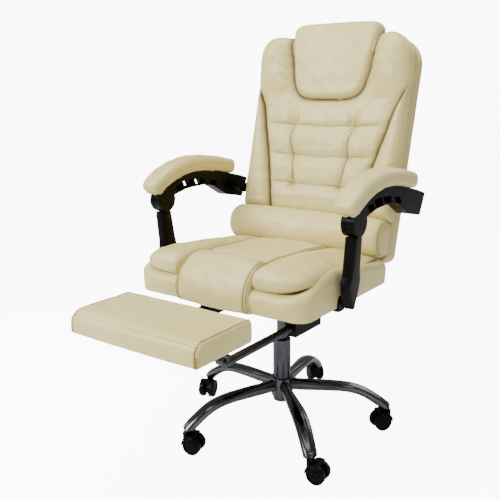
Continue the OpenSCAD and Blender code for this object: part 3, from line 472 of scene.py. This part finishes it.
def addStitches(name, piece, places, body):  # a row of short threads that lie on a piece
    run = np.concatenate([[0], np.cumsum(np.linalg.norm(np.diff(places, axis=0), axis=1))])
    count = int(run[-1] / stitch["pitch"])
    at = (np.arange(count) + 0.5) / count * run[-1]
    middle, ahead = (np.stack([np.interp(at + shift, run, places[:, k]) for k in range(3)], -1)
                     for shift in (0, 0.001))
    middle, normal = onSurface(piece, middle, stitch["lift"])
    along = onSurface(piece, ahead, stitch["lift"])[0] - middle
    along /= np.maximum(np.linalg.norm(along, axis=1, keepdims=True), 1e-9)
    across = np.cross(along, normal)
    bpy.ops.mesh.primitive_uv_sphere_add(segments=8, ring_count=6, radius=1)
    row = bpy.context.object
    row.name = name
    bead = points(row) * np.array(stitch["half"])
    onlySelect(row)
    row.modifiers.new("many", "ARRAY").count = count
    bpy.ops.object.modifier_apply(modifier="many")
    p = (bead[:, 0, None] * across[:, None] + bead[:, 1, None] * normal[:, None]
         + bead[:, 2, None] * along[:, None])
    movePoints(row, (p + middle[:, None]).reshape(-1, 3))
    return finishPiece(row, body, thread, "leather_cream")


def halfSizes(box, halfWidth):
    return np.array([halfWidth, (box["rear"] - box["front"]) / 2, (box["high"] - box["low"]) / 2])


def centre(box):
    return (box["rear"] + box["front"]) / 2, (box["high"] + box["low"]) / 2


lean = dict(angle=15, y=0.150, z=0.560)


def leaned(x, y, z):  # from the back's own frame to the room's
    c, s = math.cos(math.radians(lean["angle"])), math.sin(math.radians(lean["angle"]))
    return np.stack([x, lean["y"] + y * c + z * s, lean["z"] - y * s + z * c], -1)


# Outline of the headrest, which the back panel folds in round
headrest = dict(foot=0.3595, top=0.583, rise=0.021, bow=0.004, crown=0.007, edge=0.16, plate=0.012,
                hood=0.038, flat=0.80, hoodFrom=0.545,
                outline=((0, 0.3595), (0.045, 0.360), (0.076, 0.3635), (0.096, 0.373), (0.111, 0.391),
                         (0.122, 0.428), (0.129, 0.470), (0.138, 0.515), (0.143, 0.548), (0.139, 0.568),
                         (0.125, 0.579), (0.10, 0.582), (0.05, 0.583), (0, 0.583)),
                hoodRings=((0.05, 1.0), (0.30, 0.993), (0.58, 0.975), (0.80, 0.95), (0.94, 0.915),
                           (1, 0.86)))
headOutline = smoothLine(headrest["outline"], np.linspace(0, 1, 300))
headMiddle = np.array([0, (headrest["foot"] + headrest["top"]) / 2])


def besideHead(x, z):  # distance from the headrest's outline
    return np.min(np.hypot(np.abs(x)[:, None] - headOutline[:, 0], z[:, None] - headOutline[:, 1]), axis=1)


# Back panel with its tufts
back = dict(halfWidth=0.250, top=0.543, foot=0.030, shoulder=0.078, edge=0.026, rearY=0.015, frontY=0.013,
            bendFrom=0.330, bend=0.42, rows=(0.113, 0.197, 0.285), columns=(0.077, 0.090, 0.101),
            seam=((0.140, 0.0), (0.148, 0.058), (0.170, 0.165), (0.215, 0.335), (0.256, 0.420)),
            rowDepth=0.0034, foldDepth=0.0065, buttonDepth=0.006, seamDepth=0.013, wing=0.010, flatTall=0.88,
            flatWide=0.86, headDepth=0.011, topPleats=((-0.011, -0.18), (0.010, 0.14)),
            footPleats=((-0.006, 0.9), (0.008, -0.7), (0.001, 0.1)),
            headFolds=((0.405, 0.5), (0.440, 0.35), (0.478, 0.2)), steps=160, threadEnd=0.012)


def backWidth(z):
    over = np.clip(z - back["top"] + back["shoulder"], 0, back["shoulder"])
    return back["halfWidth"] - back["shoulder"] + np.sqrt(np.maximum(back["shoulder"] ** 2 - over ** 2, 0))


def bentForward(x, z):  # the top bends forward, the shoulders more than the middle
    return (back["bend"] * np.maximum(0, z - back["bendFrom"]) ** 2 / back["top"]
            * (0.25 + 0.75 * smooth((np.abs(x) - 0.115) / 0.09)))


def seamAt(z):
    return np.interp(z, [p[1] for p in back["seam"]], [p[0] for p in back["seam"]])


def foldAt(z, side):  # the upright folds wander a little between the rows
    x = np.interp(z, back["rows"], back["columns"])
    low, mid, high = back["rows"]
    wave = np.where(z > mid, np.sin((z - mid) / (high - mid) * math.pi),
                    -np.sin((mid - z) / (mid - low) * math.pi))
    wave = np.where((z < low) | (z > high), 0, wave)
    return x + (np.maximum(z - high, 0) - np.maximum(low - z, 0)) * 0.16 - side * wave * 0.0045


# how far the leather stands in front of the flat panel, and how much painted shade it gets there in its
# creases, tufts and seams
def backShape(x, z):
    side = np.sign(x)
    ax = np.abs(x)
    seam, width = seamAt(z), backWidth(z)
    inside = smooth((seam - ax) / 0.016)
    low, mid, high = back["rows"]
    out = np.zeros_like(x)
    crease = np.zeros_like(x)
    for k, row in enumerate(back["rows"]):
        at = row - 0.004 * dip(ax, 0.05) * (1 if k else 0.4) + 0.0035 * (ax / 0.2) ** 2
        reach = smooth((seam - 0.004 - ax) / 0.03)
        out -= back["rowDepth"] * reach * (0.45 * dip(z - at, 0.014) + 0.55 * cusp(z - at, 0.003))
        crease = np.maximum(crease, 0.8 * reach * cusp(z - at, 0.0016))
    fold = foldAt(z, side)
    tall = smooth((z - low + 0.03) / 0.03) * smooth((high + 0.052 - z) / 0.05)
    nearRow = sum(dip(z - row, 0.03) for row in back["rows"])
    depth = tall * (0.62 + 0.38 * nearRow)
    out -= back["foldDepth"] * depth * (0.6 * dip(ax - fold, 0.014) + 0.4 * cusp(ax - fold, 0.0035))
    between = smooth((z - low) / 0.02) * smooth((high - z) / 0.02)
    crease = np.maximum(crease, (0.9 * between + 0.2) * tall * cusp(ax - fold, 0.0024))
    for row, column in zip(back["rows"], back["columns"]):  # each tuft is pulled in, with puckers round it
        dx, dz = ax - column, z - row
        far = np.hypot(dx, dz)
        out -= back["buttonDepth"] * (0.6 * dip(far, 0.020) + 0.4 * cusp(far, 0.007))
        angle = np.arctan2(dz, dx)
        out += 0.0022 * smooth(far / 0.008) * np.exp(-far / 0.020) * np.cos(7 * angle + row * 40 + side)
        crease = np.maximum(crease, 0.5 * cusp(far, 0.004))
    for shift, tilt in back["topPleats"]:  # short pleats over the top row
        at = back["columns"][2] + shift + (z - high) * tilt
        some = smooth((z - high + 0.004) / 0.012) * smooth((high + 0.058 - z) / 0.045)
        out -= 0.0034 * some * dip(ax - at, 0.006)
        crease = np.maximum(crease, 0.26 * some * cusp(ax - at, 0.0024))
    for shift, tilt in back["footPleats"]:  # and under the bottom row
        at = back["columns"][0] + shift + (low - z) * tilt
        some = smooth((low - z + 0.004) / 0.008) * smooth((z - low + 0.034) / 0.03)
        out -= 0.0026 * some * dip(ax - at, 0.005)
    beside = smooth(ax / 0.02)
    puffRow = np.abs(np.sin((z - low) / (mid - low) * math.pi))
    puff = 0.0045 * smooth((z - 0.05) / 0.03) * smooth((high + 0.05 - z) / 0.05) * puffRow
    out += inside * puff * (0.6 + 0.4 * beside)
    out *= np.where(ax < seam, 1, 0)
    fade = smooth((0.415 - z) / 0.05)
    deep = back["seamDepth"] * fade
    out -= deep * (0.35 * dip(ax - seam, 0.020) + 0.65 * cusp(ax - seam, 0.0055))
    crease = np.maximum(crease, 1.2 * fade * cusp(ax - seam, 0.0052))
    wing = np.clip((ax - seam) / np.maximum(width - seam, 0.01), 0, 1)
    out += back["wing"] * np.where(ax > seam, np.sin(wing ** 0.75 * math.pi) ** 0.8, 0) * fade
    shoulder = smooth((z - 0.35) / 0.08) * smooth((0.545 - z) / 0.06) * smooth((width - ax) / 0.05)
    nearHead = besideHead(x, z)
    out += 0.015 * shoulder * smooth((ax - 0.11) / 0.06)
    valley = 0.45 * dip(nearHead, 0.020) + 0.55 * cusp(nearHead, 0.007)
    out -= back["headDepth"] * smooth((z - 0.33) / 0.03) * valley
    crease = np.maximum(crease, 1.3 * smooth((z - 0.345) / 0.01) * cusp(nearHead, 0.006))
    for start, tilt in back["headFolds"]:  # they run out from the headrest's side
        line = z - start - tilt * (ax - 0.125)
        some = smooth((ax - 0.12) / 0.012) * smooth((0.185 - ax) / 0.05)
        out -= 0.0025 * some * dip(line, 0.007)
        crease = np.maximum(crease, 0.12 * some * cusp(line, 0.003))
    out += 0.0011 * ripple(x, z, 1.3, 0.11) + 0.0004 * ripple(x, z, 4.1, 0.035)
    return out, crease


def makeBackPanel():
    piece = addGrid("backPanel", 260, 250)
    s, t, _ = points(piece).T
    middle, half = (back["top"] + back["foot"]) / 2, (back["top"] - back["foot"]) / 2
    z, shareZ = edgeBand(t, back["flatTall"], half, back["edge"])
    z = z + middle
    width = backWidth(z)
    a = np.abs(s)
    flat = back["flatWide"]
    turn = np.clip((a - flat) / 0.14, 0, 1) * math.pi / 2
    x = np.sign(s) * np.where(a < flat, a / flat * (width - back["edge"]),
                              width - back["edge"] * (1 - np.sin(turn)))
    shareX = np.cos(turn)
    out, crease = backShape(x, z)
    y = back["rearY"] - (back["rearY"] + back["frontY"] + out) * shareX * shareZ - bentForward(x, z)
    movePoints(piece, leaned(x, y, z))
    extrudeRim(piece, lambda co: co + leaned(0, 0.004, 0) - leaned(0, 0, 0))
    extra = len(piece.data.vertices) - len(crease)
    closeRim(piece)
    # the turned-back rim gets painted shade too
    crease = np.concatenate([crease, np.full(extra, 0.4)])
    return finishPiece(piece, "back", cream, "leather_cream", "back_cushion", fill=0.75, crease=crease)


backPanel = makeBackPanel()
for k, row in enumerate(back["rows"]):
    edge = seamAt(row) - back["threadEnd"]
    across = np.linspace(-edge, edge, back["steps"])
    seam = leaned(across, -0.03 * np.ones(back["steps"]), row + 0.0035 * (across / 0.2) ** 2)
    places, _ = onSurface(backPanel, seam)
    addStitches(f"tuftThread{k + 1}", backPanel, places, "back")


# Headrest
def makeHeadrest():
    piece = addGrid("headrestPad", 96, 96)
    s, t, _ = points(piece).T
    u, v = s * np.sqrt(1 - t * t / 2), t * np.sqrt(1 - s * s / 2)
    angle, far = np.arctan2(u, -v), np.hypot(u, v)  # 0 at the foot, to either side up to the top
    d = headOutline - headMiddle
    around, wide = np.arctan2(d[:, 0], -d[:, 1]), np.linalg.norm(d, axis=1)
    reach = np.interp(np.abs(angle), around, wide)
    flat, edge = headrest["flat"], headrest["edge"]
    turn = np.clip((far - flat) / (1 - flat), 0, 1) * math.pi / 2
    ring = np.where(far < flat, far / flat * (1 - edge), 1 - edge + edge * np.sin(turn))
    x = np.sin(angle) * reach * ring
    z = headMiddle[1] - np.cos(angle) * reach * ring
    tall = smooth((z - headrest["foot"]) / (headrest["top"] - headrest["foot"]))
    crown = headrest["crown"] * (1 - (ring / (1 - edge)) ** 2).clip(0)
    out = headrest["rise"] + headrest["bow"] * tall + crown
    out += 0.0012 * ripple(x, z, 2.7, 0.12)
    y = headrest["plate"] - (out + headrest["plate"]) * np.cos(turn)
    over = smooth((z - headrest["hoodFrom"]) / 0.02)
    # painted shade round the headrest's rim, but not under its hood
    crease = 0.9 * smooth((far - 0.93) / 0.07) * (1 - over)
    movePoints(piece, np.stack([x, y, z], -1))
    for deep, shrink in headrest["hoodRings"]:
        def hood(co, deep=deep, shrink=shrink):
            away = np.arctan2(co[:, 0], headMiddle[1] - co[:, 2])
            full = np.interp(np.abs(away), around, wide)
            over = smooth((headMiddle[1] - np.cos(away) * full - headrest["hoodFrom"]) / 0.02)
            full = full * (1 - over * (1 - shrink))
            y = headrest["plate"] + (headrest["hood"] - headrest["plate"]) * deep * over
            return np.stack([np.sin(away) * full, y, headMiddle[1] - np.cos(away) * full], -1)
        extrudeRim(piece, hood)
    closeRim(piece)
    crease = np.concatenate([crease, np.zeros(len(piece.data.vertices) - len(crease))])
    movePoints(piece, leaned(*points(piece).T))
    return finishPiece(piece, "back", cream, "leather_cream", "headrest_cushion", fill=0.85, crease=crease,
                       angle=80)


makeHeadrest()

# Lumbar roll
lumbar = dict(halfWidth=0.252, low=-0.071, high=0.037, front=-0.075, rear=0.0135, round=0.050, end=0.024)


def makeLumbar():
    piece = addBlock("lumbarRoll", 76)
    p = points(piece)
    half = halfSizes(lumbar, lumbar["halfWidth"])
    middleY, middleZ = centre(lumbar)
    corners = [(i, j, lumbar["round"] if j < 0 else 0.02) for i in (-1, 1) for j in (-1, 1)]
    z, y, x = plumpBlock(p, half[::-1], lumbar["end"], corners, 0.72)
    along = np.abs(x) / half[0]
    front = smooth(-y / half[1] * 0.5 + 0.5)
    bulge = 0.006 * (1 - along ** 2) * front
    y = y - bulge + 0.010 * along ** 3 * front
    z = z * (1 - 0.10 * along ** 5) + 0.0012 * ripple(x, z, 0.7, 0.16) * front
    y = y + 0.0010 * ripple(x, z, 3.3, 0.09) * front
    # painted shade in the seam round each end of the roll
    crease = 0.7 * cusp(np.abs(x) - half[0] + 0.008, 0.0024)
    movePoints(piece, leaned(x, y + middleY, z + middleZ))
    return finishPiece(piece, "back", cream, "leather_cream", "lumbar_cushion", fill=0.85, crease=crease)


makeLumbar()

# Rear shell of the back
shell = dict(low=-0.084, high=0.543, front=0.0155, rear=0.0695, round=0.020)


def makeShell():
    piece = addBlock("backShell", 70)
    p = points(piece)
    half = halfSizes(shell, 1.0)
    middleY, middleZ = centre(shell)
    q = roundBlock(p, (half[2], half[1], half[2]), shell["round"], 0.8)
    x, y, z = q.T
    z = z + middleZ
    width = backWidth(np.minimum(z, shell["high"]))
    lowTurn = np.clip((shell["low"] + 0.03 - z) / 0.03, 0, 1)
    width = width - 0.03 * (1 - np.sqrt(1 - lowTurn ** 2))
    x = x / half[2] * (width - 0.001)
    pulled = 0.0016 * cusp(y + half[1] - 0.006, 0.003)
    x = x - np.sign(x) * pulled * smooth((np.abs(x) - width + 0.03) / 0.03)
    crown = 0.004 * (1 - (x / width) ** 2) * smooth(y / half[1])
    y = y + crown + 0.0012 * ripple(x, z, 5.9, 0.17) * smooth(y / half[1])
    y = y + middleY - bentForward(x, z) * 0.4 * smooth(-y / half[1])
    movePoints(piece, leaned(x, y, z))
    # painted shade along the shell's front edge, where it meets the panel
    crease = 0.55 * smooth((shell["front"] + 0.006 - y) / 0.006)
    return finishPiece(piece, "back", creamShell, "leather_shell", "back_shell", fill=0.9, crease=crease)


makeShell()

# Seat: box, side pads and waterfall panel
seat = dict(halfWidth=0.257, front=-0.288, rear=0.122, low=0.432, high=0.494, corner=0.020, foot=0.005,
            bend=0.038)


def makeSeatBox():
    piece = addBlock("seatBox", 84)
    p = points(piece)
    half = halfSizes(seat, seat["halfWidth"])
    middleY, middleZ = centre(seat)
    corners = [(i, j, seat["bend"] if j < 0 else seat["bend"] * 0.4) for i in (-1, 1) for j in (-1, 1)]
    share = smooth(p[:, 2] * 0.6 + 0.5)
    sharp, plump = (plumpBlock(p, half, seat[rim], corners) for rim in ("foot", "corner"))
    x, y, z = (low * (1 - share) + high * share for low, high in zip(sharp, plump))
    y = y + middleY
    ax = np.abs(x)
    up = smooth(z / half[2] * 0.5 + 0.5)
    outer = smooth((ax - 0.212) / 0.032)
    rise = np.interp(y, (-0.288, -0.25, -0.20, -0.142, -0.05, 0.03, 0.122),
                     (0.002, 0.010, 0.030, 0.035, 0.023, 0.013, 0.0))
    z = z + up * outer * rise + middleZ
    frontBulge = smooth((-y - 0.262) / 0.02) * np.sin(np.clip((z - seat["low"]) / 0.07, 0, 1) * math.pi)
    y = y - 0.011 * frontBulge * smooth((0.25 - ax) / 0.06)
    sideBulge = smooth((ax - 0.235) / 0.02) * np.sin(np.clip((z - seat["low"]) / 0.10, 0, 1) * math.pi)
    x = x + np.sign(x) * 0.003 * sideBulge
    y = y + 0.0008 * ripple(x, z, 1.9, 0.09) * smooth((-y - 0.262) / 0.02)
    # painted shade along the box's bottom edge
    crease = 0.25 * smooth((seat["low"] + 0.006 - z) / 0.006)
    z = z + underside["lift"] * overBoard(p, x, y - middleY, half)
    movePoints(piece, np.stack([x, y, z], -1))
    return finishPiece(piece, "seat", cream, "leather_cream", "seat_cushion", fill=0.8, crease=crease)


makeSeatBox()

sidePad = dict(inner=0.1125, outer=0.245, front=-0.294, rear=0.108, low=0.490, high=0.548, round=0.025,
               bend=0.066)


def makeSidePad(name, side, node):
    piece = addBlock(name, 60)
    p = points(piece)
    half = halfSizes(sidePad, (sidePad["outer"] - sidePad["inner"]) / 2)
    corners = ((1, -1, sidePad["bend"]), (1, 1, 0.035), (-1, -1, 0.014), (-1, 1, 0.014))
    x, y, z = plumpBlock(p, half, sidePad["round"], corners, 0.66)
    x = x + (sidePad["outer"] + sidePad["inner"]) / 2
    y = y + centre(sidePad)[0]
    up = z / half[2] * 0.5 + 0.5
    outward = (x - sidePad["inner"]) / (sidePad["outer"] - sidePad["inner"])
    floor = np.interp(x, (0.11, 0.15, 0.177, 0.205, 0.245), (0.488, 0.488, 0.490, 0.494, 0.502))
    stations = (-0.294, -0.24, -0.17, -0.10, 0, 0.06, 0.108)
    top = np.interp(y, stations, (0.541, 0.547, 0.549, 0.545, 0.533, 0.521, 0.505))
    fall = np.interp(y, stations, (0.016, 0.012, 0.015, 0.022, 0.020, 0.013, 0.004))
    top = top - smooth((outward - 0.2) / 0.8) * fall
    z = floor + (top - floor) * up + 0.003 * np.sin(np.clip(outward, 0, 1) * math.pi) * up
    cross = y + 0.030 + 0.25 * (x - 0.11)
    z = z - 0.0045 * cusp(cross, 0.006) * up * smooth((0.20 - x) / 0.05)
    z = z + (0.0014 * ripple(x, y, 2.2 + side, 0.10) + 0.0006 * ripple(x, y, 6.2, 0.04)) * up
    # painted shade along the pad's foot, in its cross crease and under its inner edge
    crease = (0.8 * smooth((0.010 - (z - floor)) / 0.008)
              + 0.35 * cusp(cross, 0.004) * up * smooth((0.20 - x) / 0.05))
    innerEdge = 0.7 * smooth((sidePad["inner"] + 0.004 - x) / 0.004)
    crease = np.maximum(crease, innerEdge * smooth((0.02 - z + floor) / 0.02))
    movePoints(piece, np.stack([x * side, y, z], -1))
    return finishPiece(piece, "seat", cream, "leather_cream", node, fill=0.85, crease=crease)


makeSidePad("sidePadLeft", 1, "seat_bolster_left")
makeSidePad("sidePadRight", -1, "seat_bolster_right")

waterfall = dict(halfWidth=0.110, steps=160, threadInset=0.0145,
                 cords=(("strapCord", 0.0095, 0.0014), ("strapEdge", 0.0015, 0.0012)),
                 outer=((0.108, 0.503), (0.06, 0.523), (0.0, 0.531), (-0.08, 0.535), (-0.17, 0.539),
                        (-0.228, 0.543), (-0.262, 0.534), (-0.288, 0.516), (-0.303, 0.492), (-0.308, 0.466),
                        (-0.303, 0.443), (-0.292, 0.430)),
                 inner=((0.108, 0.494), (0.06, 0.494), (0.0, 0.494), (-0.08, 0.494), (-0.17, 0.494),
                        (-0.225, 0.494), (-0.255, 0.492), (-0.274, 0.485), (-0.283, 0.472), (-0.286, 0.458),
                        (-0.286, 0.444), (-0.284, 0.433)))


def makeWaterfall():
    piece = addBlock("waterfallPanel", 96)
    p = points(piece)
    s, t, u = p.T
    run = (1 - t) / 2
    outer, inner = smoothLine(waterfall["outer"], run), smoothLine(waterfall["inner"], run)
    a = np.abs(s)
    flat = 0.84
    turn = np.clip((a - flat) / (1 - flat), 0, 1)
    x = np.sign(s) * np.where(a < flat, a / flat * (waterfall["halfWidth"] - 0.010),
                              waterfall["halfWidth"] - 0.010 * (1 - np.sin(turn * math.pi / 2)))
    drop = np.where(a < flat, 0, 0.30 * (1 - np.cos(turn * math.pi / 2)))
    up = u * 0.5 + 0.5
    endTurn = np.clip((np.abs(t) - 0.93) / 0.07, 0, 1)
    high = (1 - drop) * np.sqrt(1 - 0.85 * endTurn ** 2)
    thick = outer - inner
    crown = 0.006 * (1 - (x / waterfall["halfWidth"]) ** 2)
    normal = thick / np.maximum(np.linalg.norm(thick, axis=1, keepdims=True), 1e-9)
    q = inner + thick * (up * high)[:, None] + normal * (crown * up)[:, None]
    y, z = q.T
    line = y + 0.20 + 0.10 * x
    cross = 0.5 * cusp(line, 0.005) + 0.5 * dip(line, 0.016)
    onTop = up * smooth((z - 0.50) / 0.02) * (u > 0.5)
    z = z - 0.011 * cross * onTop + 0.004 * dip(line + 0.045, 0.035) * onTop
    z = z + 0.0012 * ripple(x, y, 3.1, 0.12) * onTop
    front = up * smooth((-y - 0.27) / 0.02)
    y = y + 0.0012 * ripple(x, z, 4.4, 0.10) * front
    pucker = smooth((0.462 - z) / 0.02) * smooth((np.abs(x) - 0.080) / 0.022)
    y = y + 0.0022 * np.sin(z * 900) * pucker * front
    # painted shade in the cross crease, on the rolled-down sides and in the edge seams
    crease = (0.6 * cusp(line, 0.004) * onTop
              + 0.9 * smooth((0.5 - up * high) / 0.3) * smooth((a - flat) / (1 - flat)))
    crease = np.maximum(crease, 0.75 * cusp(np.abs(x) - waterfall["halfWidth"] + 0.0095, 0.0022))
    movePoints(piece, np.stack([x, y, z], -1))
    return finishPiece(piece, "seat", cream, "leather_cream", "seat_centre_panel", fill=0.85, crease=crease)


waterfallPanel = makeWaterfall()
for side, name in ((1, "Left"), (-1, "Right")):
    steps = waterfall["steps"]
    line = smoothLine(waterfall["outer"], np.linspace(0.03, 0.985, steps))
    for word, inset, radius in waterfall["cords"]:
        edge = np.column_stack([np.full(steps, side * (waterfall["halfWidth"] - inset)), line])
        places, _ = onSurface(waterfallPanel, edge)
        addPiping(word + name, places, "seat", radius, cordLeather)
    x = side * (waterfall["halfWidth"] - waterfall["threadInset"])
    edge = np.column_stack([np.full(steps, x), line])
    addStitches("strapThread" + name, waterfallPanel, onSurface(waterfallPanel, edge)[0], "seat")

# Arm pads
arm = dict(x=0.297, discY=-0.143, discZ=0.646, length=0.367, height=0.065,
           top=((-0.082, 0.185), (-0.033, 0.46), (0.049, 0.69), (0.139, 0.86), (0.256, 0.985), (0.376, 1),
                (0.561, 0.89), (0.80, 0.625)),
           halfWidth=0.033, thickness=0.041)


def makeArmPad(name, side, body, node):
    piece = addBlock(name, 56)
    p = points(piece)
    line = [(arm["discY"] + arm["length"] * a, arm["discZ"] + arm["height"] * b) for a, b in arm["top"]]
    half = np.array([arm["halfWidth"], 0.175, arm["thickness"] / 2])
    x, along, up = roundBlock(p, half, 0.0165, 0.62).T
    run = (along / half[1] + 1) / 2
    at, normal = smoothLine(line, run), lineNormal(line, run)
    lift = up + half[2] + 0.0008
    ends = np.abs(along) / half[1]
    lift = lift + 0.003 * (1 - (x / half[0]) ** 2) * (up > 0) * (1 - ends ** 4)
    x = x * (1 - 0.16 * smooth((ends - 0.72) / 0.28) ** 2)
    q = at + normal * lift[:, None]
    y, z = q.T
    tuck = smooth((0.10 - run) / 0.10) * smooth(0.5 - up / half[2])
    z = z + 0.0016 * np.sin(x * 330) * tuck + 0.0009 * ripple(x, y, 1.1 + side, 0.07)
    # painted shade on the pad's underside and in the puckered tuck at its front end
    crease = 0.6 * smooth((-up - half[2] + 0.003) / 0.003) + 0.25 * tuck
    movePoints(piece, np.stack([(arm["x"] + x) * side, y, z], -1))
    return finishPiece(piece, body, cream, "leather_cream", node, fill=0.8, crease=crease)


makeArmPad("armPadLeft", 1, "arm_left", "arm_pad_left")
makeArmPad("armPadRight", -1, "arm_right", "arm_pad_right")

# Footrest pad
footrest = dict(halfWidth=0.187, front=-0.567, rear=-0.386, low=0.412, high=0.465, nose=0.026, steps=120,
                cordInset=0.0045, threadInset=0.010, cordRadius=0.0012,
                rim=((-0.388, 0.475), (-0.48, 0.477), (-0.545, 0.476), (-0.566, 0.466), (-0.577, 0.440),
                     (-0.575, 0.416)))


def makeFootrest():
    piece = addBlock("footrestPad", 80)
    p = points(piece)
    half = halfSizes(footrest, footrest["halfWidth"])
    middleY, middleZ = centre(footrest)
    x, y, z = roundBlock(p, half, 0.007, 0.86).T
    nose = footrest["nose"]
    cy, cz = -half[1] + nose, half[2] - nose
    dy, dz = np.minimum(y - cy, 0), np.maximum(z - cz, 0)
    far = np.hypot(dy, dz)
    share = np.maximum(np.abs(dy), dz) / np.maximum(far, 1e-9)
    y, z = (np.where(far > 0, cy + dy * share, y) + np.where(y > cy, y - cy, 0) * (far > 0),
            np.where(far > 0, cz + dz * share, z) + np.where(z < cz, z - cz, 0) * (far > 0))
    along = np.abs(x) / half[0]
    z = z + 0.004 * (1 - along ** 2.5) * (1 - (y / half[1]) ** 4) * smooth(z / half[2])
    y = y - 0.003 * (1 - along ** 2.5) * smooth(-y / half[1] * 3 - 2)
    z = z + 0.0009 * ripple(x, y, 2.9, 0.13) * smooth(z / half[2])
    seam = cusp(np.abs(x) - half[0] + 0.0055, 0.0016)
    x = x + np.sign(x) * 0.0022 * smooth((along - 0.985) / 0.01) * (1 - (z / half[2]) ** 2)
    corner = (smooth((-y - half[1] + 0.02) / 0.02) * smooth((along - 0.93) / 0.05)
              * smooth((0.012 - z) / 0.02))
    y = y + 0.0016 * np.sin(z * 1500) * corner
    # painted shade in the side seams, near the rims
    crease = 0.6 * seam * (np.maximum(np.abs(y) / half[1], np.abs(z) / half[2]) > 0.9)
    z = z + underside["lift"] * overBoard(p, x, y, half)
    movePoints(piece, np.stack([x, y + middleY, z + middleZ], -1))
    return finishPiece(piece, "footrest", cream, "leather_cream", "footrest_cushion", fill=0.8,
                       crease=crease)


footrestPad = makeFootrest()
for side, name in ((1, "Left"), (-1, "Right")):
    rim = smoothLine(footrest["rim"], np.linspace(0, 1, footrest["steps"]))
    for word, inset in (("gussetCord", footrest["cordInset"]), ("gussetThread", footrest["threadInset"])):
        line = np.column_stack([np.full(footrest["steps"], side * (footrest["halfWidth"] - inset)), rim])
        places, _ = onSurface(footrestPad, line)
        if word == "gussetCord":
            addPiping(word + name, places, "footrest", footrest["cordRadius"], cordLeather)
        else:
            addStitches(word + name, footrestPad, places, "footrest")

# Legs of the base
leg = dict(reach=0.298, turn=173.7, hubZ=0.121, halfHeight=0.017, halfWidth=0.021, capFrom=0.975,
           run=(0.08, 0.22, 0.40, 0.58, 0.70, 0.79, 0.87, 0.94, 0.985, 1),
           height=(1.01, 1, 1, 0.985, 0.935, 0.85, 0.73, 0.61, 0.51, 0.44),
           wide=(0.62, 0.66, 0.80, 0.98, 1, 0.98, 0.94, 0.9, 0.86, 0.84),
           tall=(1, 0.98, 0.90, 0.76, 0.72, 0.72, 0.74, 0.76, 0.78, 0.78))


def makeLeg(k):
    piece = addBlock(f"baseLeg{k + 1}", 36)
    p = points(piece)
    s, t, u = p.T
    run = (s + 1) / 2
    line = [(leg["reach"] * a, leg["hubZ"] * b) for a, b in zip(leg["run"], leg["height"])]
    at, normal = smoothLine(line, run), lineNormal(line, run)
    stations = np.arange(10) / 9
    spread = np.interp(at[:, 0] / leg["reach"], leg["run"], stations)
    wide = np.interp(spread, stations, leg["wide"]) * leg["halfWidth"]
    tall = np.interp(spread, stations, leg["tall"]) * leg["halfHeight"]
    ring = np.stack([t, u], -1)
    far = np.linalg.norm(ring, axis=1)
    ring = ring * (np.abs(ring).max(1) / np.maximum(far, 1e-9))[:, None]
    ring = np.sign(ring) * np.abs(ring) ** 0.86
    cap = np.sqrt(1 - 0.75 * np.clip((run - leg["capFrom"]) / 0.025, 0, 1) ** 2)
    y = ring[:, 0] * wide * cap
    ridge = 0.0016 * cusp(ring[:, 0], 0.10) * smooth(ring[:, 1] * 3)
    q = at + normal * (ring[:, 1] * tall * cap + ridge)[:, None]
    a = math.radians(leg["turn"] + 72 * k)
    x = q[:, 0] * math.cos(a) - y * math.sin(a)
    y = q[:, 0] * math.sin(a) + y * math.cos(a)
    movePoints(piece, np.stack([x, y, q[:, 1]], -1))
    return finishPiece(piece, "base", gunmetal, "gunmetal", f"base_leg_{k + 1}", angle=50)


for k in range(5):
    makeLeg(k)

# CAD nodes that stay, in their finishes
finishes = {
    armBlack: ("arm_frame_", "arm_upright_"),
    wheelBlack: ("caster_yoke_", "caster_wheels_", "column_bush", "height_lever", "recline_lever"),
    steelBlack: ("seat_mechanism", "seat_plate", "seat_hinge_brackets", "back_hinge_bars",
                 "arm_rear_brackets", "arm_foot_brackets", "footrest_guides", "footrest_hinge",
                 "arm_pivot_bolt_"),
    railGrey: ("footrest_rail_", "footrest_crossbar"),
    gunmetal: ("base_hub", "base_leg_"),
    tubeBlack: ("column_tube", "gas_cylinder"),
    chrome: ("gas_rod",),
    zinc: ("caster_stem_", "recline_pins"),
    brass: ("gas_button",),
    plywood: ("seat_board", "back_board", "footrest_board"),
    cream: ("seat_cushion", "seat_centre_panel", "seat_bolster_", "back_cushion", "headrest_cushion",
            "lumbar_cushion", "arm_pad_", "footrest_cushion"),
    creamShell: ("back_shell",),
}
for material, starts in finishes.items():
    for name, node in nodes.items():
        if name.startswith(starts):
            if not node.data.materials:
                node.data.materials.append(material)
            for place in range(len(node.data.materials)):
                node.data.materials[place] = material
print("finishes set")

# Floor
bpy.ops.object.select_all(action="DESELECT")
bpy.ops.mesh.primitive_plane_add(size=studio["floorSize"])
floor = bpy.context.object
floor.name = "studioFloor"
floorMaterial, floorWire, floorShader = newMaterial("paleFloor")
floorTone = floorWire.node("ShaderNodeTexNoise", {}, {"Scale": 2.0}).span(0.3, 0.7)
plug(floorWire, floorShader, Colour=floorTone.mix((0.93, 0.93, 0.93, 1), (0.95, 0.95, 0.95, 1)),
     Roughness=0.85)
seen = floorWire.node("ShaderNodeLightPath")
plug(floorWire, floorShader, **{"Emission Color": seen.mix((0, 0, 0, 1), (1, 1, 1, 1)),
                                "Emission Strength": studio["floorPower"]})
floor.data.materials.append(floorMaterial)
